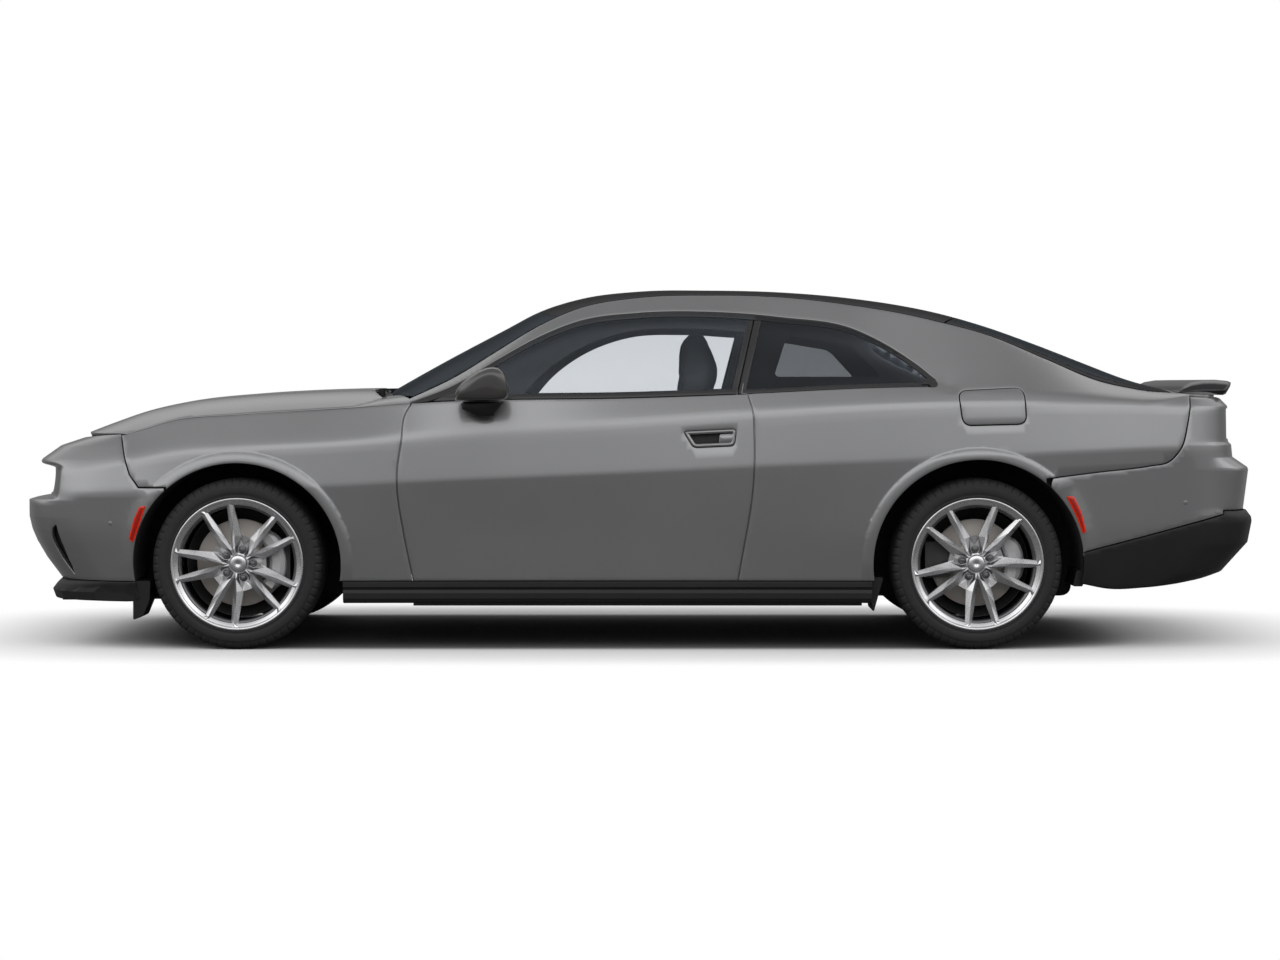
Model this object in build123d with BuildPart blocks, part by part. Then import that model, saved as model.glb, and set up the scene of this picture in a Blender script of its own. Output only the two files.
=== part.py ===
"""Two-door electric fastback coupe, built as an assembly of separate pieces.

Millimetres. The nose points to -X, the car's left side to -Y, +Z is up. The origin lies on the ground
at the middle of the car's length.
"""
import os
from math import hypot

from build123d import *

os.makedirs("parts", exist_ok=True)

# ---------------------------------------------------------------- driving dimensions
nose_x = -2624.0            # foremost point, on the centreline
tail_x = 2624.0             # rearmost point, on the centreline
front_axle_x = -1672.0
rear_axle_x = 1400.0
wheel_plane_y = 845.0       # centre plane of every wheel
tyre_radius = 356.0
tyre_width = 280.0
rim_lip_radius = 276.0
rim_seat_radius = 254.0
barrel_radius = 238.0       # inside of the rim's barrel
disc_radius = 182.0
disc_thickness = 32.0
hub_radius = 34.0           # spindle that the wheel turns on
arch_radius = 432.0         # opening in the body sides
liner_radius = 441.0
liner_wall = 4.0
kingpin_y = 765.0
structure_y = 500.0         # nothing fixed lies further out beside a steered wheel
steer_limit = 35.0

skin = 4.0                  # single sheet, as in a fender
door_front_wall = 36.0      # the door's thickness ahead of its hinge
door_wall = 96.0            # the door's thickness elsewhere
quarter_wall = 60.0
hood_wall = 28.0
roof_wall = 30.0
glass_wall = 5.0
rail_wall = 36.0
shut_gap = 9.0              # between a moving panel and the body
seam = 0.4                  # between two fixed pieces

door_hinge_x = -893.0
door_hinge_y = 930.0
hinge_pin_radius = 7.0
pin_clearance = 0.4

mirror_pivot_x = -600.0
mirror_pivot_y = 1000.0
mirror_foot_z = 1015.0

sill_top_z = 290.0
sill_bottom_z = 190.0
floor_z = 302.0
floor_wall = 20.0
battery_bottom_z = 165.0
underside_z = 178.0

# ---------------------------------------------------------------- surface tables
# Painted side: x, then half-width and height at the sill, low, crease, shoulder and belt lines.
SIDE = [
    (-2330, 895, 270, 930, 480, 934, 648, 895, 760, 812, 850),
    (-2110, 960, 270, 982, 480, 986, 655, 950, 800, 826, 905),
    (-1672, 990, 280, 1010, 480, 1014, 668, 985, 850, 858, 976),
    (-1240, 985, 285, 1000, 480, 1010, 685, 985, 872, 858, 1002),
    (-886, 975, 295, 986, 480, 1003, 702, 978, 892, 915, 1028),
    (0, 970, 295, 980, 480, 998, 740, 966, 953, 912, 1047),
    (450, 972, 295, 984, 480, 1000, 762, 966, 989, 912, 1063),
    (1000, 985, 295, 1000, 480, 1008, 786, 972, 1028, 908, 1088),
    (1400, 995, 290, 1010, 480, 1014, 805, 975, 1044, 905, 1092),
    (1850, 980, 265, 997, 480, 1003, 827, 960, 1043, 898, 1073),
    (2120, 940, 255, 965, 480, 972, 838, 928, 1036, 860, 1062),
    (2330, 885, 250, 918, 480, 926, 843, 885, 1022, 825, 1056),
]
# Greenhouse side: x, half-width and height of the window's upper edge, then of the roof's edge.
RAIL = [
    (-985, 894, 1018, 846, 1034),
    (-775, 868, 1100, 790, 1135),
    (-596, 806, 1208, 735, 1247),
    (-432, 752, 1300, 682, 1348),
    (-266, 712, 1368, 632, 1423),
    (0, 684, 1406, 590, 1472),
    (300, 678, 1410, 575, 1482),
    (600, 684, 1387, 575, 1474),
    (903, 706, 1337, 582, 1440),
    (1163, 800, 1186, 592, 1395),
    (1260, 876, 1106, 598, 1372),
    (1497, 903, 1090, 620, 1306),
    (1720, 901, 1079, 660, 1211),
    (1943, 886, 1070, 715, 1116),
    (2122, 860, 1063, 770, 1079),
    (2302, 833, 1056, 772, 1064),
]
# Hood: x, half-width and height of its edge, of its crown line, and the height on the centreline.
HOOD = [
    (-2430, 800, 842, 480, 872, 878),
    (-2250, 818, 868, 480, 942, 948),
    (-2110, 826, 905, 480, 990, 997),
    (-1950, 842, 952, 480, 1026, 1033),
    (-1672, 858, 976, 480, 1056, 1063),
    (-1400, 858, 993, 480, 1072, 1079),
    (-1130, 858, 1010, 480, 1080, 1086),
]
# Windscreen: x and the height on the centreline; the edge follows RAIL.
SCREEN_CROWN = [(-1090, 1072), (-985, 1133), (-855, 1206), (-589, 1347), (-448, 1420), (-350, 1460)]
# Roof and rear window: x and the height on the centreline; the edge follows RAIL.
CROWN = [
    (-460, 1416), (-432, 1428), (-266, 1479), (0, 1513), (300, 1518), (600, 1510), (903, 1486), (1163, 1449),
    (1260, 1430), (1497, 1366), (1720, 1288), (1943, 1201), (2122, 1128), (2233, 1092),
]
# Plan of the nose and tail: half-width, distance back from the foremost or rearmost point.
NOSE_PLAN = [(0, 0), (480, 12), (700, 42), (800, 92), (862, 168), (905, 250)]
TAIL_PLAN = [(0, 0), (480, 10), (700, 36), (800, 84), (858, 150), (898, 232)]
# Nose and tail seen from the side: height, set-back of the face.
NOSE_FACE = [(282, 142), (370, 75), (442, 33), (493, 12), (545, 0), (622, 0), (646, 100), (752, 106), (774, 52),
             (786, 50), (843, 128), (880, 240)]
TAIL_FACE = [(246, 250), (275, 226), (310, 128), (433, 16), (523, 0), (560, 6), (580, 40), (750, 14), (820, 80),
             (862, 106), (1010, 104), (1040, 130)]
# Shut lines as seen from the side: x, z.
DOOR_FRONT = [(-939, 283), (-978, 487), (-1003, 664), (-1004, 739), (-987, 866), (-973, 984), (-886, 1030)]
QUARTER_REAR = [(2302, 1056), (2280, 941), (2241, 827), (2192, 780), (2116, 765), (1898, 740), (1680, 713)]
VALANCE_TOP = [(1700, 376), (1840, 408), (2440, 560), (2640, 572)]
DOOR_REAR = [(405, 283), (469, 706), (472, 880), (466, 990), (434, 1090)]


# ---------------------------------------------------------------- helpers
def row_at(table, x):
    """The table's row at x, each column interpolated between its neighbours."""
    if x <= table[0][0]:
        return table[0]
    for low, high in zip(table, table[1:]):
        if x <= high[0]:
            t = (x - low[0]) / (high[0] - low[0])
            return tuple(a + t * (b - a) for a, b in zip(low, high))
    return table[-1]


def stations(table, x_from, x_to):
    """Places between x_from and x_to at which a loft takes a section."""
    inside = [row[0] for row in table if x_from + 1 < row[0] < x_to - 1]
    return [x_from] + inside + [x_to]


def set_in(points, depth):
    """The open polyline moved inwards (to smaller y, then smaller z) by depth."""
    normals = []
    for (y0, z0), (y1, z1) in zip(points, points[1:]):
        run = hypot(y1 - y0, z1 - z0)
        normals.append(((z0 - z1) / run, (y1 - y0) / run))
    moved = []
    for i, (y, z) in enumerate(points):
        a = normals[max(i - 1, 0)]
        b = normals[min(i, len(normals) - 1)]
        size = hypot(a[0] + b[0], a[1] + b[1])
        n = ((a[0] + b[0]) / size, (a[1] + b[1]) / size)
        stretch = depth / (n[0] * a[0] + n[1] * a[1])
        moved.append((y + n[0] * stretch, z + n[1] * stretch))
    return moved


def loft_x(sections):
    """A ruled solid through closed (y, z) outlines, each at its x."""
    with BuildPart() as solid:
        for x, outline in sections:
            with BuildSketch(Plane.YZ.offset(x)):
                with BuildLine():
                    Polyline(*outline, close=True)
                make_face()
        loft(ruled=True)
    return solid.part


def loft_z(sections):
    """A ruled solid through closed (x, y) outlines, each at its height."""
    with BuildPart() as solid:
        for z, outline in sections:
            with BuildSketch(Plane.XY.offset(z)):
                with BuildLine():
                    Polyline(*outline, close=True)
                make_face()
        loft(ruled=True)
    return solid.part


def side_line(x, first="sill", last="belt"):
    """The left side's outline at x, from one named line to another, as (y, z) points."""
    names = ["sill", "low", "crease", "shoulder", "belt"]
    row = row_at(SIDE, x)
    pairs = [(-row[1 + 2 * i], row[2 + 2 * i]) for i in range(len(names))]
    return pairs[names.index(first):names.index(last) + 1]


def side_wall(x_from, x_to, depth, start=0.0, first="sill", last="belt"):
    """The left body side between two places, from start to depth below its surface."""
    sections = []
    for x in stations(SIDE, x_from, x_to):
        line = side_line(x, first, last)
        outer = set_in(line, -start) if start else line
        inner = set_in(line, -depth)
        if last == "belt":
            inner[-1] = (inner[-1][0], line[-1][1])
        sections.append((x, outer + inner[::-1]))
    return loft_x(sections)


def half_width(x, z):
    """Half the body's width at a place and height."""
    line = side_line(x)
    for (y0, z0), (y1, z1) in zip(line, line[1:]):
        if z <= z1:
            return -(y0 + (y1 - y0) * max(0.0, (z - z0) / (z1 - z0)))
    return -line[-1][0]


def arched(half):
    """A half outline (from the left edge to the centre) completed to the right edge."""
    return half + [(-y, z) for y, z in half[::-1] if y < -0.01]


def top_wall(table, x_from, x_to, depth, inset=0.0, under_inset=0.0):
    """A panel across the car between two places; the table gives its edge and centre."""
    sections = []
    for x in stations(table, x_from, x_to):
        row = row_at(table, x)
        half = [(-row[i], row[i + 1]) for i in range(1, len(row) - 1, 2)] + [(0.0, row[-1])]
        half[0] = (half[0][0] + inset, half[0][1])
        top = arched(half)
        lower = [(half[0][0] + under_inset, half[0][1])] + half[1:]
        under = [(y, z - depth) for y, z in arched(lower)[::-1]]
        sections.append((x, top + under))
    return loft_x(sections)


def mirrored(name, part):
    """The right-hand copy of a left-hand piece."""
    copy = mirror(part, about=Plane.XZ)
    copy.label = name
    return copy


def write(name, part):
    """Writes one piece; a piece of several solids stays one node."""
    part.label = name
    export_step(part, f"parts/{name}.step")


def write_pair(name, part):
    """Writes a left-hand piece and its mirror image."""
    write(f"{name}_left", part)
    write(f"{name}_right", mirrored(f"{name}_right", part))


def side_prism(outline, y_from, y_to):
    """A prism between two distances left of the centreline, with an (x, z) outline."""
    with BuildPart() as prism:
        with BuildSketch(Plane.XZ.offset(y_from)):
            with BuildLine():
                Polyline(*outline, close=True)
            make_face()
        extrude(amount=y_to - y_from)
    return prism.part


def block(x_from, x_to, y_from, y_to, z_from, z_to):
    """A box given by its limits."""
    with BuildPart() as box:
        with BuildSketch(Plane.XY.offset(z_from)):
            with Locations(((x_from + x_to) / 2, (y_from + y_to) / 2)):
                Rectangle(x_to - x_from, y_to - y_from)
        extrude(amount=z_to - z_from)
    return box.part


def shifted(line, dx):
    """A shut line moved along the car."""
    return [(x + dx, z) for x, z in line]


def arch_cut(axle_x, radius):
    """The left wheel's arch opening as a solid to cut away."""
    with BuildPart() as cut:
        with BuildSketch(Plane.XZ.offset(structure_y)):
            with Locations((axle_x, tyre_radius)):
                Circle(radius)
            with Locations((axle_x, tyre_radius - radius / 2)):
                Rectangle(2 * radius, radius)
        extrude(amount=650)
    return cut.part


front_arch = arch_cut(front_axle_x, arch_radius)
rear_arch = arch_cut(rear_axle_x + 6, arch_radius + 4)
SCREEN = [(row[0],) + tuple(row_at(RAIL, row[0])[3:5]) + (row[1],) for row in SCREEN_CROWN]
ROOF = [(row[0],) + tuple(row_at(RAIL, row[0])[3:5]) + (row[1],) for row in CROWN]

# ---------------------------------------------------------------- doors
door_outline = shifted(DOOR_FRONT, 0) + [(-860, 1120), (434, 1120)] + DOOR_REAR[::-1]
with BuildPart() as door:
    add(side_wall(-1020, 500, door_front_wall))
    add(side_wall(door_hinge_x + 30, 400, door_wall))
    add(side_prism(door_outline, 700, 1100), mode=Mode.INTERSECT)
    for hinge_z in (430, 720):
        with BuildSketch(Plane.XY.offset(hinge_z)):
            with Locations((door_hinge_x, -door_hinge_y)):
                Circle(1.8 * hinge_pin_radius)
            with Locations((door_hinge_x, -door_hinge_y - 20)):
                Rectangle(3.6 * hinge_pin_radius, 40)
            with Locations((door_hinge_x, -door_hinge_y)):
                Circle(hinge_pin_radius + pin_clearance, mode=Mode.SUBTRACT)
        extrude(amount=30)
    # pull handle
    add(block(212, 388, -980, -940, 862, 902))
    # mirror foot
    add(block(mirror_pivot_x - 40, mirror_pivot_x + 25, -mirror_pivot_y - 18, -925, 985, mirror_foot_z - seam))
write_pair("door", door.part)

# ---------------------------------------------------------------- door glass, carried by the door
def glass_line(x, top_gap):
    """Outer line of the side glass at x: from the belt to the window's upper edge."""
    row = row_at(SIDE, x)
    rail = row_at(RAIL, x)
    foot = (-(row[9] - 22), row[10] + seam)
    head = (-(rail[1] + 2), rail[2] - top_gap)
    return [foot, head]


def side_glass(x_from, x_to, top_gap):
    """A pane between the belt and the window's upper edge."""
    sections = []
    for x in sorted(set(stations(RAIL, x_from, x_to) + stations(SIDE, x_from, x_to))):
        line = glass_line(x, top_gap)
        sections.append((x, line + [(y + glass_wall, z) for y, z in line[::-1]]))
    return loft_x(sections)


with BuildPart() as door_glass:
    add(side_glass(-780, 425, shut_gap))
write_pair("door_glass", door_glass.part)

with BuildPart() as quarter_glass:
    add(side_glass(445, 1150, seam))
write_pair("quarter_glass", quarter_glass.part)

# ---------------------------------------------------------------- body sides: pillars, roof rail, quarter
def rail_wall_solid():
    """The pillar and roof rail from the cowl to the tail, above the windows."""
    sections = []
    for x in stations(RAIL, -985, 2302):
        low_y, low_z, edge_y, edge_z = row_at(RAIL, x)[1:]
        line = [(-low_y, low_z), (-edge_y, edge_z)]
        inner_edge = set_in(line, -rail_wall)[1]
        sections.append((x, line + [inner_edge, (-low_y + rail_wall + 4, low_z)]))
    return loft_x(sections)


quarter_front = shifted(DOOR_REAR, shut_gap)
quarter_outline = quarter_front + [(443, 1400), (2302, 1400)] + QUARTER_REAR + [(1600, 200), (414, 200)]
with BuildPart() as body_side:
    add(side_wall(414, 2330, quarter_wall))
    add(side_prism(quarter_outline, 600, 1100), mode=Mode.INTERSECT)
    add(rear_arch, mode=Mode.SUBTRACT)
    add(rail_wall_solid())
    # rocker, stepped up inboard to meet the floor
    with BuildSketch(Plane.YZ.offset(-1012)):
        with BuildLine():
            Polyline((-925, 200), (-925, sill_top_z), (-862, sill_top_z), (-862, 345), (-800, 345), (-800, 200),
                     close=True)
        make_face()
    extrude(amount=1955)
    # hinge pillar and its foot on the pillar above
    add(block(-1012, -905, -836, -775, 330, 1010))
    add(block(-985, -905, -848, -775, 1000, 1030))
    # lock pillar behind the door
    add(block(500, 560, -940, -800, 300, 1060))
    # hinge arms with their pins
    for hinge_z in (430, 720):
        with BuildSketch(Plane.XY.offset(hinge_z + 30 + seam)):
            with Locations((door_hinge_x, -880)):
                Rectangle(24, 2 * (door_hinge_y - 880))
            with Locations((-915, -836)):
                Rectangle(68, 20)
            with Locations((door_hinge_x, -door_hinge_y)):
                Circle(12)
        extrude(amount=12)
        with BuildSketch(Plane.XY.offset(hinge_z)):
            with Locations((door_hinge_x, -door_hinge_y)):
                Circle(hinge_pin_radius)
        extrude(amount=34)
left_body_side = body_side.part
write("body_side_right", mirrored("body_side_right", left_body_side))

# ---------------------------------------------------------------- charge flap, left side only
flap_outline = [(1334, 975), (1330, 1062), (1352, 1200), (1560, 1200), (1596, 1050), (1599, 965), (1564, 938),
                (1357, 931)]
flap_gap = 6.0
flap_wall = 5.0
flap_hinge_x = 1333.0
hinge_foot = Vector(flap_hinge_x, -(half_width(flap_hinge_x, 935) - flap_wall / 2), 935)
hinge_head = Vector(flap_hinge_x, -(half_width(flap_hinge_x, 1041) - flap_wall / 2), 1041)
flap_axis = (hinge_head - hinge_foot).normalized()
with BuildPart() as charge_flap:
    add(side_wall(1320, 1610, flap_wall))
    add(side_prism(flap_outline, 700, 1100), mode=Mode.INTERSECT)
    with BuildSketch(Plane(origin=hinge_foot + flap_axis * 48, x_dir=(1, 0, 0),
                           z_dir=(flap_axis.X, flap_axis.Y, flap_axis.Z))):
        Circle(3.6)
    extrude(amount=24)
write("charge_flap", charge_flap.part)

with BuildPart() as pocketed_side:
    add(left_body_side)
    with BuildSketch(Plane.XZ.offset(875)):
        with BuildLine():
            Polyline(*flap_outline, close=True)
        make_face()
        offset(amount=flap_gap)
    extrude(amount=200, mode=Mode.SUBTRACT)
    add(block(1320, flap_hinge_x - 4.2, -985, -930, 990, 1000))
write("body_side_left", pocketed_side.part)

# ---------------------------------------------------------------- fenders
fender_outline = [(-2176, 895), (-2118, 728), (-2078, 677), (-1960, 677), (-1900, 200)]
fender_outline += shifted(DOOR_FRONT, -shut_gap) + [(-886 - shut_gap, 1120), (-2176, 1120)]
with BuildPart() as fender:
    add(side_wall(-2190, -880, skin))
    add(side_prism(fender_outline, 700, 1100), mode=Mode.INTERSECT)
    add(front_arch, mode=Mode.SUBTRACT)
write_pair("fender", fender.part)

# ---------------------------------------------------------------- top panels
def plan_prism(outline, z_from, z_to):
    """A prism between two heights with an (x, y) outline given for the left half, mirrored."""
    whole = outline + [(x, -y) for x, y in outline[::-1] if y < -0.01]
    with BuildPart() as prism:
        with BuildSketch(Plane.XY.offset(z_from)):
            with BuildLine():
                Polyline(*whole, close=True)
            make_face()
        extrude(amount=z_to - z_from)
    return prism.part


bumper_wall = 22.0
hood_front = [(nose_x + back + NOSE_FACE[-1][1] + bumper_wall + shut_gap, -0.91 * y) for y, back in NOSE_PLAN[:4]]
hood_plan = hood_front + [(-2180, -778), (-2164, -806), (-2110, -816), (-1900, -835), (-1672, -849),
                          (-1150, -849), (-1150, 0)]
with BuildPart() as hood:
    add(top_wall(HOOD, -2430, -1140, hood_wall))
    add(plan_prism(hood_plan, 700, 1200), mode=Mode.INTERSECT)
hood_rest_z = row_at(HOOD, -2290)[4] - hood_wall
write("hood", hood.part)

screen_plan = [(-1078, 0), (-1066, -400), (-1010, -700), (-950, -820), (-930, -900), (-352, -900), (-352, -640),
               (-400, -500), (-440, -250), (-448, 0)]
with BuildPart() as windscreen:
    add(top_wall(SCREEN, -1090, -350, 2 * glass_wall, inset=16))
    add(plan_prism(screen_plan, 900, 1500), mode=Mode.INTERSECT)
write("windscreen", windscreen.part)

roof_plan = [(-448 + seam, 0), (-440 + seam, -250), (-400 + seam, -500), (-352 + seam, -640), (-352, -900),
             (1296, -900), (1296, -560), (1366, -300), (1376, 0)]
with BuildPart() as roof_panel:
    add(top_wall(ROOF, -460, 1400, roof_wall, inset=seam, under_inset=rail_wall))
    add(plan_prism(roof_plan, 1200, 1600), mode=Mode.INTERSECT)
write("roof_panel", roof_panel.part)

# ---------------------------------------------------------------- hatch: frame and tail, rear glass, spoiler
deck_front_x = 2236.0
hatch_plan = [(1376 + shut_gap, 0), (1366 + shut_gap, -300), (1296 + shut_gap, -560), (1296 + shut_gap, -900),
              (2240, -900), (2241, -763)]
hatch_plan += [(tail_x - back - 134 - 22 - shut_gap, -y) for y, back in TAIL_PLAN[2::-1]]
glass_plan = [(1400, 0), (1390, -300), (1345, -520), (2060, -690), (2190, -560), (2215, 0)]


def hatch_sheet(x_from, x_to, depth):
    """Part of the fastback's rear surface, a running gap inside the body sides' edge."""
    return top_wall(ROOF, x_from, x_to, depth, inset=shut_gap, under_inset=rail_wall)


DECK = [
    (2238, 762, 1068, 1092),
    (2337, 763, 1060, 1070),
    (2500, 750, 1052, 1056),
]
with BuildPart() as hatch:
    add(hatch_sheet(1290, 2240, roof_wall))
    add(top_wall(DECK, 2238, 2478, roof_wall))
    add(plan_prism(hatch_plan, 900, 1500), mode=Mode.INTERSECT)
    add(plan_prism(glass_plan, 900, 1500), mode=Mode.SUBTRACT)
write("hatch", hatch.part)

with BuildPart() as rear_glass:
    add(hatch_sheet(1340, 2220, 2 * glass_wall))
    add(plan_prism([(x + (seam if i < 3 else -seam), y * 0.999) for i, (x, y) in enumerate(glass_plan)],
                   900, 1500), mode=Mode.INTERSECT)
write("rear_glass", rear_glass.part)

with BuildPart() as spoiler:
    with BuildSketch(Plane.XZ):
        with BuildLine():
            Polyline((2300, 1079), (2325, 1112), (2422, 1124), (2508, 1117), (2523, 1102), (2500, 1056 + seam),
                     (2337, 1070 + seam), close=True)
        make_face()
    extrude(amount=700, both=True)
write("spoiler", spoiler.part)

# ---------------------------------------------------------------- nose and tail
def end_line(z, plan, extreme, sign, face, side_x):
    """Half plan line of a bumper at one height, from the centre to its end beside the wheel."""
    set_back = row_at(face, z)[1]
    corner_x = extreme - sign * (plan[-1][1] + set_back)
    scale = half_width(corner_x, z) / plan[-1][0]
    ends = [(extreme - sign * (back + set_back), -y * scale) for y, back in plan]
    side_x = [(corner_x + side_x[0]) / 2] + side_x
    return ends + [(x, -half_width(x, z)) for x in side_x]


def end_shell(levels, plan, extreme, sign, face, side_x, depth, start=0.0):
    """A shell that wraps round the nose (sign -1) or tail (sign +1), lofted up through its levels."""
    sections = []
    for z in levels:
        line = end_line(z, plan, extreme, sign, face, side_x)
        outer = set_in(line, -sign * start) if start else line
        inner = set_in(line, -sign * depth)
        half = outer[1:] + inner[:0:-1]
        apex_out = (outer[0][0], 0.0)
        apex_in = (inner[0][0], 0.0)
        other = [(x, -y) for x, y in half[::-1]]
        outline = [apex_out] + half + [apex_in] + other
        sections.append((z, outline))
    return loft_z(sections)


def both(part):
    """A cutter for both sides of the car."""
    return [part, mirror(part, about=Plane.XZ)]


front_side_x = [-2108.0, -1900.0]
rear_side_x = [2110.0, 1850.0]

nose_levels = [row[0] for row in NOSE_FACE]
recess_half = 812.0
with BuildPart() as front_bumper:
    add(end_shell(nose_levels, NOSE_PLAN, nose_x, -1, NOSE_FACE, front_side_x, bumper_wall))
    for cutter in both(front_arch):
        add(cutter, mode=Mode.SUBTRACT)
    for cutter in both(side_prism([(-2176.6, 1000), (-2176.6, 890), (-2118.6, 727.6), (-2078.6, 676.5), (-1800, 676.5),
                                   (-1800, 1000)], 700, 1100)):
        add(cutter, mode=Mode.SUBTRACT)
    add(block(-2640, -2400, -recess_half, recess_half, 640, 764), mode=Mode.SUBTRACT)
write("front_bumper", front_bumper.part)

with BuildPart() as front_grille:
    add(block(-2500, -2470, -recess_half + seam, recess_half - seam, 640 + seam, 764 - seam))
    for slat_z in (664, 688, 712, 736):
        add(block(-2512, -2500, -400, 400, slat_z, slat_z + 8))
write("front_grille", front_grille.part)

with BuildPart() as headlamps:
    for side in (-1, 1):
        with BuildSketch(Plane.XY.offset(652)):
            with BuildLine():
                Polyline((-2500.4, side * 420), (-2530, side * 424), (-2512, side * 700), (-2500.4, side * 790),
                         close=True)
            make_face()
        extrude(amount=96)
write("headlamps", headlamps.part)

with BuildPart() as front_splitter:
    add(end_shell([203, 235, 282 - seam], NOSE_PLAN, nose_x + 96, -1, [(203, 12), (235, 0), (282, 46)],
                  [-2150.0, -2060.0], 40))
    for cutter in both(front_arch):
        add(cutter, mode=Mode.SUBTRACT)
    add(block(-2430, -1760, -structure_y, structure_y, underside_z, underside_z + 8))
    add(block(-2430, -2130, -800, 800, 196, 204))
    add(block(-2200, -2130, -structure_y, structure_y, underside_z, 204))
write("front_splitter", front_splitter.part)

tail_levels = [row[0] for row in TAIL_FACE]
lamp_half = 800.0
with BuildPart() as rear_bumper:
    add(end_shell([z for z in tail_levels if z > 300], TAIL_PLAN, tail_x, 1, TAIL_FACE, rear_side_x, bumper_wall))
    for cutter in both(rear_arch):
        add(cutter, mode=Mode.SUBTRACT)
    for cutter in both(side_prism(shifted(QUARTER_REAR, seam) + [(1600, 713), (1600, 1400), (2302 + seam, 1400)],
                                  500, 1100)):
        add(cutter, mode=Mode.SUBTRACT)
    add(side_prism([(x, z + seam) for x, z in VALANCE_TOP] + [(2640, 200), (1700, 200)], -1100, 1100),
        mode=Mode.SUBTRACT)
    add(block(2400, 2640, -lamp_half, lamp_half, 870, 1004), mode=Mode.SUBTRACT)
    # shelf beside and behind the hatch
    tail_top = end_line(1040, TAIL_PLAN, tail_x, 1, TAIL_FACE, rear_side_x)
    with BuildSketch(Plane.XY.offset(1030)):
        with BuildLine():
            Polyline(*tail_top, *[(x, -y) for x, y in tail_top[:0:-1]], close=True)
        make_face()
        with Locations((2302 + seam - 500, 0)):
            Rectangle(1000, 2000, mode=Mode.SUBTRACT)
        with BuildLine():
            Polyline((1400, -772), (2400, -772), (2438, -700), (2466, -480), (2476, 0), (2466, 480), (2438, 700),
                     (2400, 772), (1400, 772), close=True)
        make_face(mode=Mode.SUBTRACT)
    extrude(amount=10)
write("rear_bumper", rear_bumper.part)

with BuildPart() as rear_valance:
    add(end_shell([z for z in tail_levels if z < 590], TAIL_PLAN, tail_x, 1, TAIL_FACE, rear_side_x, bumper_wall))
    for cutter in both(rear_arch):
        add(cutter, mode=Mode.SUBTRACT)
    add(side_prism(VALANCE_TOP + [(2640, 1000), (1600, 1000), (1600, 376)], -1100, 1100), mode=Mode.SUBTRACT)
    add(block(1900, 2380, -640, 640, 246, 254))
write("rear_valance", rear_valance.part)

with BuildPart() as tail_lamps:
    add(block(2478, 2512, -lamp_half + seam, lamp_half - seam, 870 + seam, 1004 - seam))
write("tail_lamps", tail_lamps.part)

with BuildPart() as side_skirts:
    for side in (-1, 1):
        with BuildSketch(Plane.YZ.offset(-1228)):
            with BuildLine():
                Polyline((side * (925 + seam), 196), (side * 972, sill_bottom_z), (side * 986, 205), (side * 984, 284.4),
                         (side * (925 + seam), 284.4), close=True)
            make_face()
        extrude(amount=2190)
write("side_skirts", side_skirts.part)

COWL = [(-1141, 856, 1004, 480, 1060, 1066), (-940, 840, 1024, 480, 1052, 1054)]
cowl_plan = [(-1141, 0), (-1141, -852), (-1012.5, -852), (-1012.5, -774.5), (-974, -774.5), (-1012, -699), (-1068, -399),
             (-1080, 0)]
with BuildPart() as cowl_panel:
    add(top_wall(COWL, -1141, -940, 20))
    add(plan_prism(cowl_plan, 900, 1200), mode=Mode.INTERSECT)
    # parked wipers, each on its spindle
    for spindle_y, tip_y in ((-560, 60), (80, 700)):
        with BuildSketch(Plane.XY.offset(1036)):
            with Locations((-1104, spindle_y)):
                Circle(14)
        extrude(amount=46)
        with BuildSketch(Plane.XY.offset(1074)):
            with BuildLine():
                Polyline((-1112, spindle_y), (-1096, spindle_y), (-1100, tip_y), (-1110, tip_y), close=True)
            make_face()
        extrude(amount=10)
write("cowl_panel", cowl_panel.part)

# ---------------------------------------------------------------- mirrors
mirror_head = [(-762, 1035), (-756, 1076), (-707, 1132), (-634, 1173), (-585, 1169), (-556, 1144), (-539, 1076),
               (-552, 1040), (-626, 1032)]
with BuildPart() as mirror_part:
    add(side_prism(mirror_head, 962, 1102))
    with BuildSketch(Plane.XY.offset(mirror_foot_z)):
        with Locations((mirror_pivot_x, -mirror_pivot_y)):
            Circle(16)
    extrude(amount=30)
write_pair("mirror", mirror_part.part)

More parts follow.
